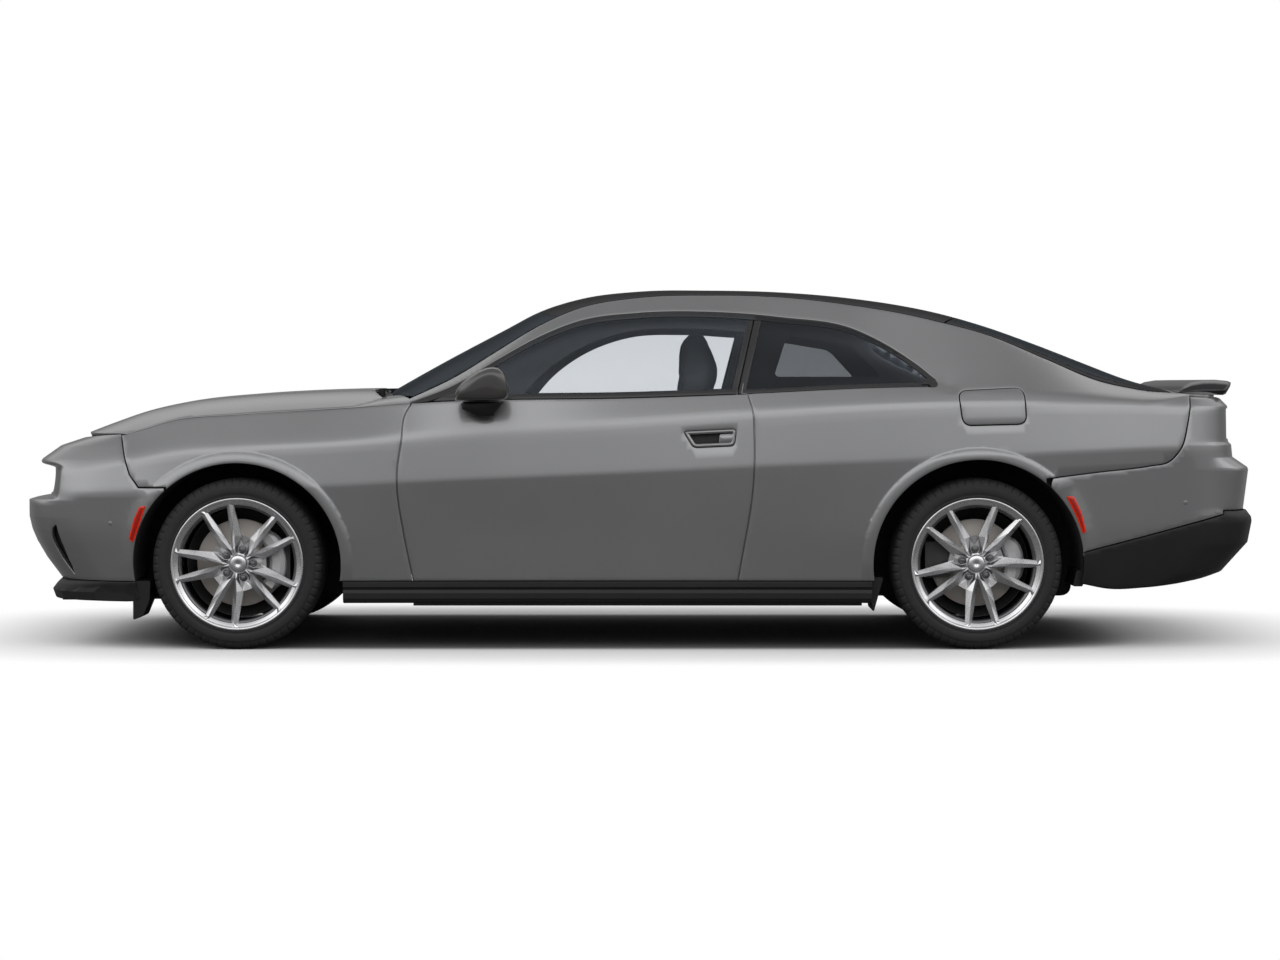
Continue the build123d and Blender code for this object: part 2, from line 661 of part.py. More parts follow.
# ---------------------------------------------------------------- wheels
def wheel_pieces():
    """Tyre, rim and disc of a left wheel about the Y axis at the origin, outer side towards -Y."""
    half = tyre_width / 2
    with BuildPart() as tyre:
        with BuildSketch(Plane.YZ):
            with BuildLine():
                Polyline((-half + 8, rim_lip_radius - 10), (-half, 318), (-half + 8, 340), (-half + 30, tyre_radius),
                         (half - 30, tyre_radius), (half - 8, 340), (half, 318), (half - 8, rim_lip_radius - 10),
                         (half - 22, rim_seat_radius + seam), (-half + 22, rim_seat_radius + seam), close=True)
            make_face()
        revolve(axis=Axis.Y)
    with BuildPart() as rim:
        with BuildSketch(Plane.YZ):
            with BuildLine():
                Polyline((-half - 2, rim_lip_radius - 12), (-half + 4, rim_lip_radius - 11), (-half + 21, rim_seat_radius),
                         (half - 21, rim_seat_radius), (half - 8, rim_lip_radius - 11), (half - 2, rim_lip_radius - 12),
                         (half - 12, barrel_radius), (-half + 10, barrel_radius), close=True)
            make_face()
        revolve(axis=Axis.Y)
        with BuildSketch(Plane.XZ.offset(half - 46)):
            Circle(84)
            for pair in range(5):
                for lean in (-20, 20):
                    with PolarLocations(0, 1, start_angle=90 + 72 * pair + lean):
                        with Locations((133, 0)):
                            Rectangle(226, 34)
            Circle(17, mode=Mode.SUBTRACT)
        extrude(amount=34)
        # centre cap and wheel nuts
        with BuildSketch(Plane.XZ.offset(half - 46 + 34)):
            Circle(34)
            with PolarLocations(60, 5, start_angle=90):
                RegularPolygon(13, 6)
        extrude(amount=12)
    with BuildPart() as disc:
        with BuildSketch(Plane.YZ):
            with BuildLine():
                Polyline((-94 + seam, hub_radius + pin_clearance), (-94 + seam, 84), (-16, 84), (-16, disc_radius),
                         (-16 + disc_thickness, disc_radius), (-16 + disc_thickness, 74), (-78, 74),
                         (-78, hub_radius + pin_clearance), close=True)
            make_face()
        revolve(axis=Axis.Y)
    return tyre.part, rim.part, disc.part


left_wheel = wheel_pieces()
for end, axle_x in (("front", front_axle_x), ("rear", rear_axle_x)):
    for name, piece in zip(("tyre", "rim", "brake_disc"), left_wheel):
        moved = Pos(axle_x, -wheel_plane_y, tyre_radius) * piece
        write_pair(f"{name}_{end}", moved)

# ---------------------------------------------------------------- steering knuckles with callipers
kingpin_top_z = 550.0
kingpin_foot_z = 236.0
ball_radius = 14.0
with BuildPart() as knuckle:
    # hub spindle
    with BuildSketch(Plane.XZ.offset(742)):
        with Locations((front_axle_x, tyre_radius)):
            Circle(70)
    extrude(amount=28)
    with BuildSketch(Plane.XZ.offset(770)):
        with Locations((front_axle_x, tyre_radius)):
            Circle(hub_radius)
    extrude(amount=wheel_plane_y - 770 + 88)
    # upright, from the lower to the upper ball joint
    add(block(front_axle_x - 34, front_axle_x + 34, -790, -742, kingpin_foot_z + 16, kingpin_top_z))
    # brake calliper and its bracket, behind the axle
    add(block(front_axle_x + 40, front_axle_x + 120, -790, -750, tyre_radius - 40, tyre_radius + 60))
    add(block(front_axle_x + 112, front_axle_x + 200, -812, -756, tyre_radius - 70, tyre_radius + 90))
    add(block(front_axle_x + 188, front_axle_x + 212, -902, -756, tyre_radius - 70, tyre_radius + 90))
    add(block(front_axle_x + 96, front_axle_x + 212, -902, -868, tyre_radius - 70, tyre_radius + 90))
    # steering arm
    add(block(front_axle_x - 150, front_axle_x - 20, -770, -744, 290, 316))
write_pair("knuckle_front", knuckle.part)

# ---------------------------------------------------------------- running gear
with BuildPart() as front_subframe:
    for side in (-1, 1):
        add(block(-2040, -1200, side * 420 - 40, side * 420 + 40, 230, 300))
        # lower arm out to the ball joint under the knuckle
        with BuildSketch(Plane.XY.offset(222)):
            with BuildLine():
                Polyline((-1840, side * 400), (-1690, side * kingpin_y), (-1654, side * kingpin_y),
                         (-1500, side * 400), close=True)
            make_face()
        extrude(amount=14)
        with BuildSketch(Plane.XY.offset(222)):
            with Locations((front_axle_x, side * kingpin_y)):
                Circle(30)
        extrude(amount=30 - seam)
        # strut tower and upper arm
        add(block(-1760, -1584, side * 440 - 40, side * 440 + 40, 290, 640))
        add(block(-1700, -1644, min(side * 440, side * kingpin_y), max(side * 440, side * kingpin_y),
                  kingpin_top_z + seam, kingpin_top_z + 26))
        add(block(-1970, -1270, side * 180 - 25, side * 180 + 25, 270, 300))
    add(block(-2040, -1960, -460, 460, 230, 300))
    add(block(-1280, -1200, -460, 460, 230, 300))
write("front_subframe", front_subframe.part)

with BuildPart() as rear_suspension:
    for side in (-1, 1):
        add(block(1080, 1760, side * 470 - 40, side * 470 + 40, 250, 320))
        for arm_x in (1240, 1560):
            add(block(arm_x - 25, arm_x + 25, min(side * 470, side * 770), max(side * 470, side * 770), 262, 300))
        add(block(1215, 1585, side * 755 - 15, side * 755 + 15, 262, 330))
        add(block(1362, 1438, side * 755 - 15, side * 755 + 15, 300, 470))
        # hub carrier face and spindle
        with BuildSketch(Plane.XZ.offset(-side * 742)):
            with Locations((rear_axle_x, tyre_radius)):
                Circle(70)
        extrude(amount=-side * 28)
        with BuildSketch(Plane.XZ.offset(-side * 770)):
            with Locations((rear_axle_x, tyre_radius)):
                Circle(hub_radius)
        extrude(amount=-side * (wheel_plane_y - 770 + 88))
        # calliper ahead of the axle
        y_in, y_out = side * 756, side * 902
        add(block(1200, 1290, min(side * 745, side * 800), max(side * 745, side * 800), 300, 420))
        add(block(1190, 1212, min(y_in, y_out), max(y_in, y_out), 296, 446))
        add(block(1190, 1292, min(side * 868, y_out), max(side * 868, y_out), 296, 446))
        add(block(1190, 1292, min(side * 770, side * 806), max(side * 770, side * 806), 296, 446))
        add(block(1140, 1700, side * 180 - 25, side * 180 + 25, 290, 320))
    add(block(1080, 1150, -500, 500, 250, 320))
    add(block(1690, 1760, -500, 500, 250, 320))
write("rear_suspension", rear_suspension.part)

with BuildPart() as battery_pack:
    add(block(-960, 940, -720, 720, battery_bottom_z, floor_z - seam))
write("battery_pack", battery_pack.part)

with BuildPart() as drive_units:
    add(block(-1860, -1440, -230, 230, 300 + seam, 560))
    add(block(1200, 1600, -230, 230, 320 + seam, 560))
write("drive_units", drive_units.part)

# ---------------------------------------------------------------- floor, bulkheads and boot floor
cabin_half = 799.0
rear_half = 599.6
bulkhead_x = -1010.0
seat_base_x = 830.0
boot_floor_z = 600.0
boot_rear_x = 2380.0
with BuildPart() as floor_pan:
    add(block(bulkhead_x, seat_base_x + floor_wall, -cabin_half, cabin_half, floor_z, floor_z + floor_wall))
    add(block(bulkhead_x - floor_wall, bulkhead_x, -770, 770, floor_z, 1000))
    add(block(seat_base_x, seat_base_x + floor_wall, -cabin_half, cabin_half, floor_z, boot_floor_z))
    add(block(seat_base_x, boot_rear_x, -rear_half, rear_half, boot_floor_z - floor_wall, boot_floor_z))
    add(block(boot_rear_x - floor_wall, boot_rear_x, -700, 700, 330, 860))
    add(block(boot_rear_x - floor_wall, boot_rear_x + 95, -640, 640, 590, 600))
    # tower between the chassis legs and the boot floor
    for side in (-1, 1):
        add(block(1100, 1740, side * 470 - 20, side * 470 + 20, 320 + seam, boot_floor_z))
        add(block(-2380, bulkhead_x, side * 474.3 - 29.3, side * 474.3 + 29.3, 640 + seam, 720))
    add(block(-2400, -2360, -760, 760, 560, 720))
    add(block(-2470 + seam, -2400, -320, -280, 650, 720))
    add(block(-2470 + seam, -2400, 280, 320, 650, 720))
    # rubber stop under the hood's front edge
    for side in (-1, 1):
        add(block(-2290, -2270, side * 470 - 10, side * 470 + 10, 715, hood_rest_z - seam))
        add(block(-2370, -2270, side * 470 - 25, side * 470 + 25, 660, 700))
write("floor_pan", floor_pan.part)

# ---------------------------------------------------------------- wheelhouse liners
liner_foot_z = 300.0
with BuildPart() as wheel_liners:
    for side in (-1, 1):
        for axle_x, inner_y, outer_y in ((front_axle_x, structure_y + 4, 935), (rear_axle_x, 600, 915)):
            with BuildSketch(Plane.XZ.offset(-side * inner_y)):
                with Locations((axle_x, tyre_radius)):
                    Circle(liner_radius + liner_wall)
                    Circle(liner_radius, mode=Mode.SUBTRACT)
                with Locations((axle_x, liner_foot_z - 500)):
                    Rectangle(1200, 1000, mode=Mode.SUBTRACT)
            extrude(amount=-side * (outer_y - inner_y))
            with BuildSketch(Plane.XZ.offset(-side * inner_y)):
                with Locations((axle_x, tyre_radius)):
                    Circle(liner_radius + 1)
                with Locations((axle_x, 600 - 500)):
                    Rectangle(1200, 1000, mode=Mode.SUBTRACT)
            extrude(amount=-side * liner_wall)
write("wheel_liners", wheel_liners.part)

# ---------------------------------------------------------------- cabin
with BuildPart() as dashboard:
    with BuildSketch(Plane.XZ.offset(-730)):
        with BuildLine():
            Polyline((-1009.6, 990), (-985, 1010), (-640, 985), (-560, 940), (-590, 820), (-700, 700), (-1009.6, 690),
                     close=True)
        make_face()
    extrude(amount=1460)
write("dashboard", dashboard.part)

with BuildPart() as console:
    with BuildSketch(Plane.XZ.offset(-110)):
        with BuildLine():
            Polyline((-760, 322 + seam), (-720, 640), (-560, 640), (-200, 570), (250, 590), (300, 322 + seam),
                     close=True)
        make_face()
    extrude(amount=220)
write("console", console.part)

seat_y = 390.0
with BuildPart() as front_seats:
    for side in (-1, 1):
        with BuildSketch(Plane.XZ.offset(-side * seat_y - 250)):
            with BuildLine():
                Polyline((-330, 322 + seam), (-340, 520), (-300, 590), (140, 560), (290, 980), (330, 1150), (330, 1230),
                         (410, 1240), (450, 1140), (400, 960), (270, 500), (230, 322 + seam), close=True)
            make_face()
        extrude(amount=500)
write("front_seats", front_seats.part)

with BuildPart() as rear_bench:
    with BuildSketch(Plane.XZ.offset(-560)):
        with BuildLine():
            Polyline((640, 322 + seam), (620, 600), (660, 640), (829, 640), (1060, 660), (1220, 1040), (1290, 1040),
                     (1300, 1010), (1160, 600 + seam), (829, 600 + seam), (829, 322 + seam), close=True)
        make_face()
    extrude(amount=1120)
write("rear_bench", rear_bench.part)

wheel_axis = Vector(1, 0, 0.42).normalized()
wheel_centre = (-445.0, -seat_y, 960.0)
wheel_plane = Plane(origin=wheel_centre, z_dir=(wheel_axis.X, wheel_axis.Y, wheel_axis.Z))
with BuildPart() as steering_wheel:
    with BuildSketch(Plane(origin=wheel_plane.origin + wheel_plane.x_dir * 178, x_dir=wheel_plane.x_dir,
                           z_dir=wheel_plane.y_dir)):
        Circle(15)
    revolve(axis=Axis(wheel_plane.origin, wheel_plane.z_dir))
    with BuildSketch(wheel_plane.offset(-12)):
        Circle(52)
        Rectangle(350, 34)
    extrude(amount=20)
    with BuildSketch(wheel_plane.offset(-117.5)):
        Circle(20)
    extrude(amount=107.5)
write("steering_wheel", steering_wheel.part)
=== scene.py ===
"""Two-door electric fastback coupe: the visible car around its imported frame.

Metres. The nose points to -X, the car's left side to -Y and +Z is up; the origin lies on the ground at
mid-length.
"""

import bpy
import numpy as np
from mathutils import Matrix, Vector, geometry


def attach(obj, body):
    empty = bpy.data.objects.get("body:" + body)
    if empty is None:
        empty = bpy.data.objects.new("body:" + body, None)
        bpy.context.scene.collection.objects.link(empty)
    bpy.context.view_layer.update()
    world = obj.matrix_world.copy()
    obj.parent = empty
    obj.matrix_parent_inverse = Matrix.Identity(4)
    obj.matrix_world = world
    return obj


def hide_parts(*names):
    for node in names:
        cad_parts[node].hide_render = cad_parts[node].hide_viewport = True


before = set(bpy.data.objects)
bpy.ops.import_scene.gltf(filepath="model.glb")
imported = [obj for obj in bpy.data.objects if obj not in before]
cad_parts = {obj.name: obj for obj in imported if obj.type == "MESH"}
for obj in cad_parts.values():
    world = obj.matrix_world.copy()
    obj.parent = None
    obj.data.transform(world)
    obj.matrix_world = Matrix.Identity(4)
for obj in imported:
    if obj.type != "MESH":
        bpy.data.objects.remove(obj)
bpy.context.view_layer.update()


# ------------------------------------------------------------------ body paint
# One grey metallic paint covers every painted panel: a metal-flake base under a clear coat. The flakes
# shift each small cell's shine, and a faint orange peel bends the coat.
class Field:
    """A shader value that adds and multiplies like a number; each operation is a Math node."""

    def __init__(self, tree, socket):
        self.tree, self.socket = tree, socket

    def work(self, operation, *others):
        """One Math node on this value and the others."""
        node = self.tree.nodes.new("ShaderNodeMath")
        node.operation = operation
        for i, value in enumerate((self, *others)):
            if isinstance(value, Field):
                self.tree.links.new(value.socket, node.inputs[i])
            else:
                node.inputs[i].default_value = value
        return Field(self.tree, node.outputs[0])

    def __add__(self, other):
        return self.work("ADD", other)

    def __mul__(self, other):
        return self.work("MULTIPLY", other)

    def __sub__(self, other):
        return self.work("SUBTRACT", other)

    def __rsub__(self, other):
        return (self * -1.0) + other

    __radd__, __rmul__ = __add__, __mul__

    def step(self, low, high):
        """0 below low and 1 above high, eased between."""
        node = self.tree.nodes.new("ShaderNodeMapRange")
        node.interpolation_type = "SMOOTHSTEP"
        self.tree.links.new(self.socket, node.inputs["Value"])
        node.inputs["From Min"].default_value = low
        node.inputs["From Max"].default_value = high
        return Field(self.tree, node.outputs["Result"])


class Finish:
    """A material whose Principled shader takes fixed values as words and fields by feed()."""

    def __init__(self, name, **fixed):
        self.material = bpy.data.materials.new(name)
        self.material.use_nodes = True
        self.tree = self.material.node_tree
        self.shader = self.tree.nodes["Principled BSDF"]
        for word, value in fixed.items():
            self.shader.inputs[word.replace("_", " ")].default_value = value

    def node(self, kind, settings=(), **values):
        """A shader node: its settings first, then a value or a link for each named socket."""
        made = self.tree.nodes.new("ShaderNode" + kind)
        for word, value in dict(settings).items():
            setattr(made, word, value)
        for word, value in values.items():
            socket = made.inputs[word.replace("_", " ")]
            if isinstance(value, Field):
                self.tree.links.new(value.socket, socket)
            else:
                socket.default_value = value
        return made

    def out(self, made, name):
        """One output of a node as a field."""
        return Field(self.tree, made.outputs[name])

    def place(self, stretch=(1, 1, 1)):
        """The point in the car's own frame, stretched."""
        point = self.out(self.node("TexCoord"), "Object")
        return self.out(self.node("Mapping", Vector=point, Scale=stretch), "Vector")

    def noise(self, size, detail=3.0, stretch=(1, 1, 1)):
        """A cloudy field from 0 to 1 whose patches are about size metres."""
        made = self.node("TexNoise", Vector=self.place(stretch), Scale=1.0 / size, Detail=detail)
        return self.out(made, "Fac")

    def cells(self, size):
        """A random value for each cell about size metres wide."""
        made = self.node("TexVoronoi", Vector=self.place(), Scale=1.0 / size)
        return self.out(self.node("SeparateColor", Color=self.out(made, "Color")), "Red")

    def axis(self, letter):
        """One coordinate of the point in the car's own frame."""
        point = self.out(self.node("TexCoord"), "Object")
        return self.out(self.node("SeparateXYZ", Vector=point), letter)

    def blend(self, field, low, high):
        """A colour between two as field runs from 0 to 1."""
        made = self.node("Mix", {"data_type": "RGBA"})
        self.tree.links.new(field.socket, made.inputs["Factor"])
        for socket, colour in ((made.inputs[6], low), (made.inputs[7], high)):
            if isinstance(colour, Field):
                self.tree.links.new(colour.socket, socket)
            else:
                socket.default_value = (*colour, 1.0)
        return Field(self.tree, made.outputs[2])

    def bump(self, field, height):
        """A bent normal where field is a relief of this height."""
        made = self.node("Bump", Height=field, Distance=height)
        return self.out(made, "Normal")

    def feed(self, **fields):
        """Links fields to the shader's sockets and gives the finished material."""
        for word, field in fields.items():
            self.tree.links.new(field.socket, self.shader.inputs[word.replace("_", " ")])
        return self.material


def plain_finish(name, dark, light, roughness, spread=0.08, patch=0.05, grain=0.0, grain_height=0.0004,
                 **fixed):
    """A finish that drifts between two close tones, with its roughness and, if asked, a fine grain."""
    made = Finish(name, **fixed)
    drift = made.noise(patch)
    fields = {"Base_Color": made.blend(drift, dark, light),
              "Roughness": drift * spread + (roughness - spread / 2)}
    if grain:
        fields["Normal"] = made.bump(made.noise(grain, 2.0), grain_height)
    return made.feed(**fields)


paint = Finish("body_paint", Coat_Weight=1.0, Coat_Roughness=0.03, Coat_IOR=1.5)
flake = paint.cells(0.0006)
body_paint = paint.feed(
    Base_Color=paint.blend(flake * 0.5 + paint.noise(0.4) * 0.5, (0.205, 0.208, 0.212),
                           (0.275, 0.278, 0.282)),
    Metallic=flake * 0.2 + 0.62,
    Roughness=flake * 0.1 + 0.30,
)

# ------------------------------------------------------------------ doors, fenders and body sides
# Pressed panels on one shared surface. Lines along the car give the half-width and height of the sill, the
# lower panel, the crease, the shoulder and the belt, then of the window's upper edge and the roof's edge.
# Each panel is cut from that surface along its shut lines, rolled over at its edges and closed behind.
SIDE = np.array([
    (-2330, 895, 270, 930, 480, 934, 648, 895, 760, 812, 850),
    (-2110, 960, 270, 982, 480, 986, 655, 950, 800, 826, 905),
    (-1950, 972, 274, 993, 480, 997, 660, 965, 828, 842, 951),
    (-1672, 990, 280, 1010, 480, 1014, 668, 985, 850, 858, 976),
    (-1240, 985, 285, 1000, 480, 1010, 685, 985, 872, 858, 1002),
    (-886, 975, 295, 986, 480, 1003, 702, 978, 892, 915, 1028),
    (0, 970, 295, 980, 480, 998, 740, 966, 953, 912, 1047),
    (450, 972, 295, 984, 480, 1000, 762, 966, 989, 912, 1063),
    (1000, 985, 295, 1000, 480, 1008, 786, 972, 1028, 908, 1088),
    (1400, 995, 290, 1010, 480, 1014, 805, 975, 1044, 905, 1092),
    (1850, 980, 265, 997, 480, 1003, 827, 960, 1043, 898, 1073),
    (2120, 940, 255, 965, 480, 972, 838, 928, 1036, 860, 1062),
    (2330, 885, 250, 918, 480, 926, 843, 885, 1022, 825, 1056),
]) / 1000
RAIL = np.array([
    (-985, 894, 1018, 846, 1034), (-775, 868, 1100, 790, 1135), (-596, 806, 1208, 735, 1247),
    (-432, 752, 1300, 682, 1348), (-266, 712, 1368, 632, 1423), (0, 684, 1406, 590, 1472),
    (300, 678, 1410, 575, 1482), (600, 684, 1387, 575, 1474), (903, 706, 1337, 582, 1440),
    (1163, 800, 1186, 592, 1395), (1260, 876, 1106, 598, 1372), (1497, 903, 1090, 620, 1306),
    (1720, 901, 1079, 660, 1211), (1943, 886, 1070, 715, 1116), (2122, 860, 1063, 770, 1079),
    (2302, 833, 1056, 772, 1064),
]) / 1000
# How far each line's bend is eased, in height.
SOFT = np.array([0.010, 0.060, 0.012, 0.030, 0.012, 0.004, 0.018])
FRONT_ARCH = (-1.672, 0.356, 0.432, 0.420)      # centre x and z, half-length, height
REAR_ARCH = (1.404, 0.356, 0.436, 0.434)
FLARE, FLARE_OUT = 0.048, 0.009                  # width and height of the rolled band round each arch


def smooth(places, values, at):
    """The table's value at each place.

    Between two rows it is a cubic, whose slope at a row is averaged from both sides.
    """
    at = np.atleast_1d(np.asarray(at, float))
    values = np.asarray(values, float)
    if values.ndim == 1:
        values = values[:, None]
    gaps = np.diff(places)
    rise = np.diff(values, axis=0) / gaps[:, None]
    before, after = gaps[:-1, None], gaps[1:, None]
    slope = np.concatenate((rise[:1], (rise[:-1] * after + rise[1:] * before) / (after + before),
                            rise[-1:]))
    inside = np.clip(at, places[0], places[-1])
    i = np.clip(np.searchsorted(places, inside) - 1, 0, len(gaps) - 1)
    column = np.arange(len(at)) if values.shape[1] > 1 else np.zeros(len(at), int)
    a, b, p, q = values[i, column], values[i + 1, column], slope[i, column], slope[i + 1, column]
    h, t = gaps[i], (inside - places[i]) / gaps[i]
    bend = (2 * t ** 3 - 3 * t ** 2 + 1) * a + (3 * t ** 2 - 2 * t ** 3) * b
    bend += h * ((t ** 3 - 2 * t ** 2 + t) * p + (t ** 3 - t ** 2) * q)
    return bend + (at - inside) * np.where(at < inside, p, q)


def side_lines(x, rows=7):
    """Half-width and height of each named line at x, two arrays of (rows, n).

    The window's edge is held just above the belt and the roof's edge just above the window's.
    """
    columns = [smooth(SIDE[:, 0], SIDE[:, c], x) for c in range(1, 11)]
    if rows == 7:
        columns += [smooth(RAIL[:, 0], RAIL[:, c], x) for c in range(1, 5)]
        columns[11] = np.maximum(columns[11], columns[9] + 0.002)
        columns[13] = np.maximum(columns[13], columns[11] + 0.004)
    return np.array(columns[0::2]), np.array(columns[1::2])


def eased(u, radius):
    """A ramp, 0 below zero and u above, with its corner rounded over radius each side."""
    return np.where(u < -radius, 0.0, np.where(u > radius, u, (u + radius) ** 2 / (4 * radius)))


def half_width(x, z, rows=5):
    """Half the car's width at each place and height.

    Straight from line to line, each bend eased, plus the flares round the arches.
    """
    wide, high = side_lines(x, rows)
    slopes = np.diff(wide, axis=0) / np.diff(high, axis=0)
    width = wide[0] + slopes[0] * (z - high[0])
    behind_window = 0.05 * np.clip((x - 1.15) / 0.35, 0, 1) * np.clip((2.3 - x) / 0.2, 0, 1)
    for i in range(1, rows - 1):
        radius = SOFT[i] + behind_window if i >= 4 and rows == 7 else SOFT[i]
        width = width + (slopes[i] - slopes[i - 1]) * eased(z - high[i], radius)
    for cx, cz, half, height in (FRONT_ARCH, REAR_ARCH):
        beyond = np.hypot(x - cx, (z - cz) * half / height) - half
        flared = 1 - np.clip(beyond / FLARE, 0, 1) ** 4
        width = width + FLARE_OUT * flared * np.clip((z - 0.25) / 0.1, 0, 1)
    return width


def side(x, z):
    """The left side below the belt."""
    return np.stack((x, -half_width(x, z), z), axis=1)


def tall_side(x, z):
    """The left side with its pillars and roof rail."""
    return np.stack((x, -half_width(x, z, 7), z), axis=1)


def run(points, step=0.012):
    """A smooth open line through points, sampled about every step."""
    points = np.asarray(points, float)
    along = np.concatenate(([0], np.cumsum(np.hypot(*np.diff(points, axis=0).T))))
    count = max(2, int(np.ceil(along[-1] / step)) + 1)
    at = np.linspace(0, along[-1], count)
    if len(points) == 2:
        return points[0] + (points[1] - points[0]) * (at / along[-1])[:, None]
    return np.stack([smooth(along, points[:, c], at) for c in range(2)], axis=1)


def arc(arch, first, last, grow=0.0):
    """Part of an arch's lip, from one angle to another, in degrees from +X up."""
    cx, cz, half, height = arch
    turn = np.radians(np.linspace(first, last, max(8, int(abs(last - first) / 2))))
    return np.stack((cx + (half + grow) * np.cos(turn), cz + (height + grow) * np.sin(turn)), axis=1)


def ring(*runs):
    """One closed outline from lines that meet end to end, near-repeated points dropped."""
    points = np.concatenate(runs)
    keep = [0]
    for i in range(1, len(points)):
        if np.hypot(*(points[i] - points[keep[-1]])) > 0.003:
            keep.append(i)
    if np.hypot(*(points[keep[-1]] - points[0])) < 0.003:
        keep.pop()
    return points[keep]


def rounded(corners, radius=0.006, step=0.012):
    """A closed outline of straight sides whose corners are rounded over radius along each side."""
    corners = np.asarray(corners, float)
    points = []
    for before, corner, after in zip(np.roll(corners, 1, axis=0), corners, np.roll(corners, -1, axis=0)):
        first = corner + (before - corner) * min(0.45, radius / np.hypot(*(before - corner)))
        last = corner + (after - corner) * min(0.45, radius / np.hypot(*(after - corner)))
        t = np.linspace(0, 1, 7)[:, None]
        points.append((1 - t) ** 2 * first + 2 * t * (1 - t) * corner + t ** 2 * last)
    loop = ring(*points)
    sides = []
    for a, b in zip(loop, np.roll(loop, -1, axis=0)):
        count = max(2, int(np.hypot(*(b - a)) / step) + 1)
        sides.append(a + (b - a) * np.linspace(0, 1, count)[:-1, None])
    return np.concatenate(sides)


def area_of(loop):
    """The area inside a closed outline, negative where it runs clockwise."""
    x, y = loop.T
    return 0.5 * float(np.sum(x * np.roll(y, -1) - np.roll(x, -1) * y))


def anticlockwise(loop):
    """The same closed outline, turned round if it runs clockwise."""
    return loop if area_of(loop) > 0 else loop[::-1]


def drawn_in(loop, depth):
    """A closed outline moved to its left by depth (inwards where it runs anticlockwise)."""
    ahead = np.roll(loop, -1, axis=0) - loop
    ahead /= np.linalg.norm(ahead, axis=1)[:, None]
    normal = np.stack((-ahead[:, 1], ahead[:, 0]), axis=1)
    both = normal + np.roll(normal, 1, axis=0)
    both /= np.maximum(np.linalg.norm(both, axis=1)[:, None], 1e-6)
    lean = np.clip(np.sum(both * normal, axis=1), 0.5, 1)
    return loop + both * (depth / lean)[:, None]


def within(points, loops):
    """Which points lie inside the outer loop and outside its holes, by counting crossings."""
    inside = np.zeros(len(points), bool)
    for loop in loops:
        a, b = loop, np.roll(loop, -1, axis=0)
        px, py = points[:, :1], points[:, 1:]
        crosses = (a[None, :, 1] > py) != (b[None, :, 1] > py)
        slope = (b[:, 0] - a[:, 0]) / np.where(b[:, 1] == a[:, 1], 1e-12, b[:, 1] - a[:, 1])
        at = a[None, :, 0] + (py - a[None, :, 1]) * slope[None, :]
        inside ^= (np.sum(crosses & (px < at), axis=1) % 2).astype(bool)
    return inside


def clear_of(points, loops, gap):
    """Which points lie further than gap from every loop's corners."""
    far = np.ones(len(points), bool)
    for loop in loops:
        for part in np.array_split(loop, max(1, len(loop) // 200)):
            distance = np.min((points[:, None, 0] - part[None, :, 0]) ** 2
                              + (points[:, None, 1] - part[None, :, 1]) ** 2, axis=1)
            far &= distance > gap * gap
    return far


def mesh_piece(name, points, faces, material, soft=True):
    """One object from points and faces, smooth-shaded."""
    mesh = bpy.data.meshes.new(name)
    mesh.from_pydata(np.asarray(points, float).tolist(), [],
                     [tuple(int(i) for i in face) for face in faces])
    mesh.polygons.foreach_set("use_smooth", np.full(len(mesh.polygons), soft))
    mesh.materials.append(material)
    mesh.update()
    piece = bpy.data.objects.new(name, mesh)
    bpy.context.scene.collection.objects.link(piece)
    return piece


def mirrored(piece, name):
    """The right-hand copy of a left-hand piece, its faces turned to keep facing outwards."""
    count = len(piece.data.vertices)
    points = np.empty(count * 3)
    piece.data.vertices.foreach_get("co", points)
    points = points.reshape(-1, 3) * (1, -1, 1)
    faces = [tuple(reversed(polygon.vertices)) for polygon in piece.data.polygons]
    copy = mesh_piece(name, points, faces, piece.data.materials[0])
    shaded_smooth = np.empty(len(faces), bool)
    piece.data.polygons.foreach_get("use_smooth", shaded_smooth)
    copy.data.polygons.foreach_set("use_smooth", shaded_smooth)
    return copy


def body_grid(x_from, x_to, rows=5, step=0.022):
    """Points in rows that follow the body's lines, closer together beside each line."""
    x = np.arange(x_from, x_to, step)
    high = side_lines(x, rows)[1]
    points = []
    for low, top in zip(high[:-1], high[1:]):
        gap = top - low
        for t, offset in ((0, 0), (0, 0.006), (0, 0.014), (0.18, 0), (0.36, 0), (0.52, 0), (0.68, 0),
                          (0.84, 0), (1, -0.014), (1, -0.006)):
            z = low + gap * t + offset
            ok = (z >= low - 1e-6) & (z < top)
            points.append(np.stack((x[ok], z[ok]), axis=1))
    points.append(np.stack((x, high[-1]), axis=1))
    for arch in (FRONT_ARCH, REAR_ARCH):
        for grow in (0.012, 0.026, 0.038, 0.044, 0.048, 0.054):
            points.append(arc(arch, -10, 190, grow))
    return np.concatenate(points)


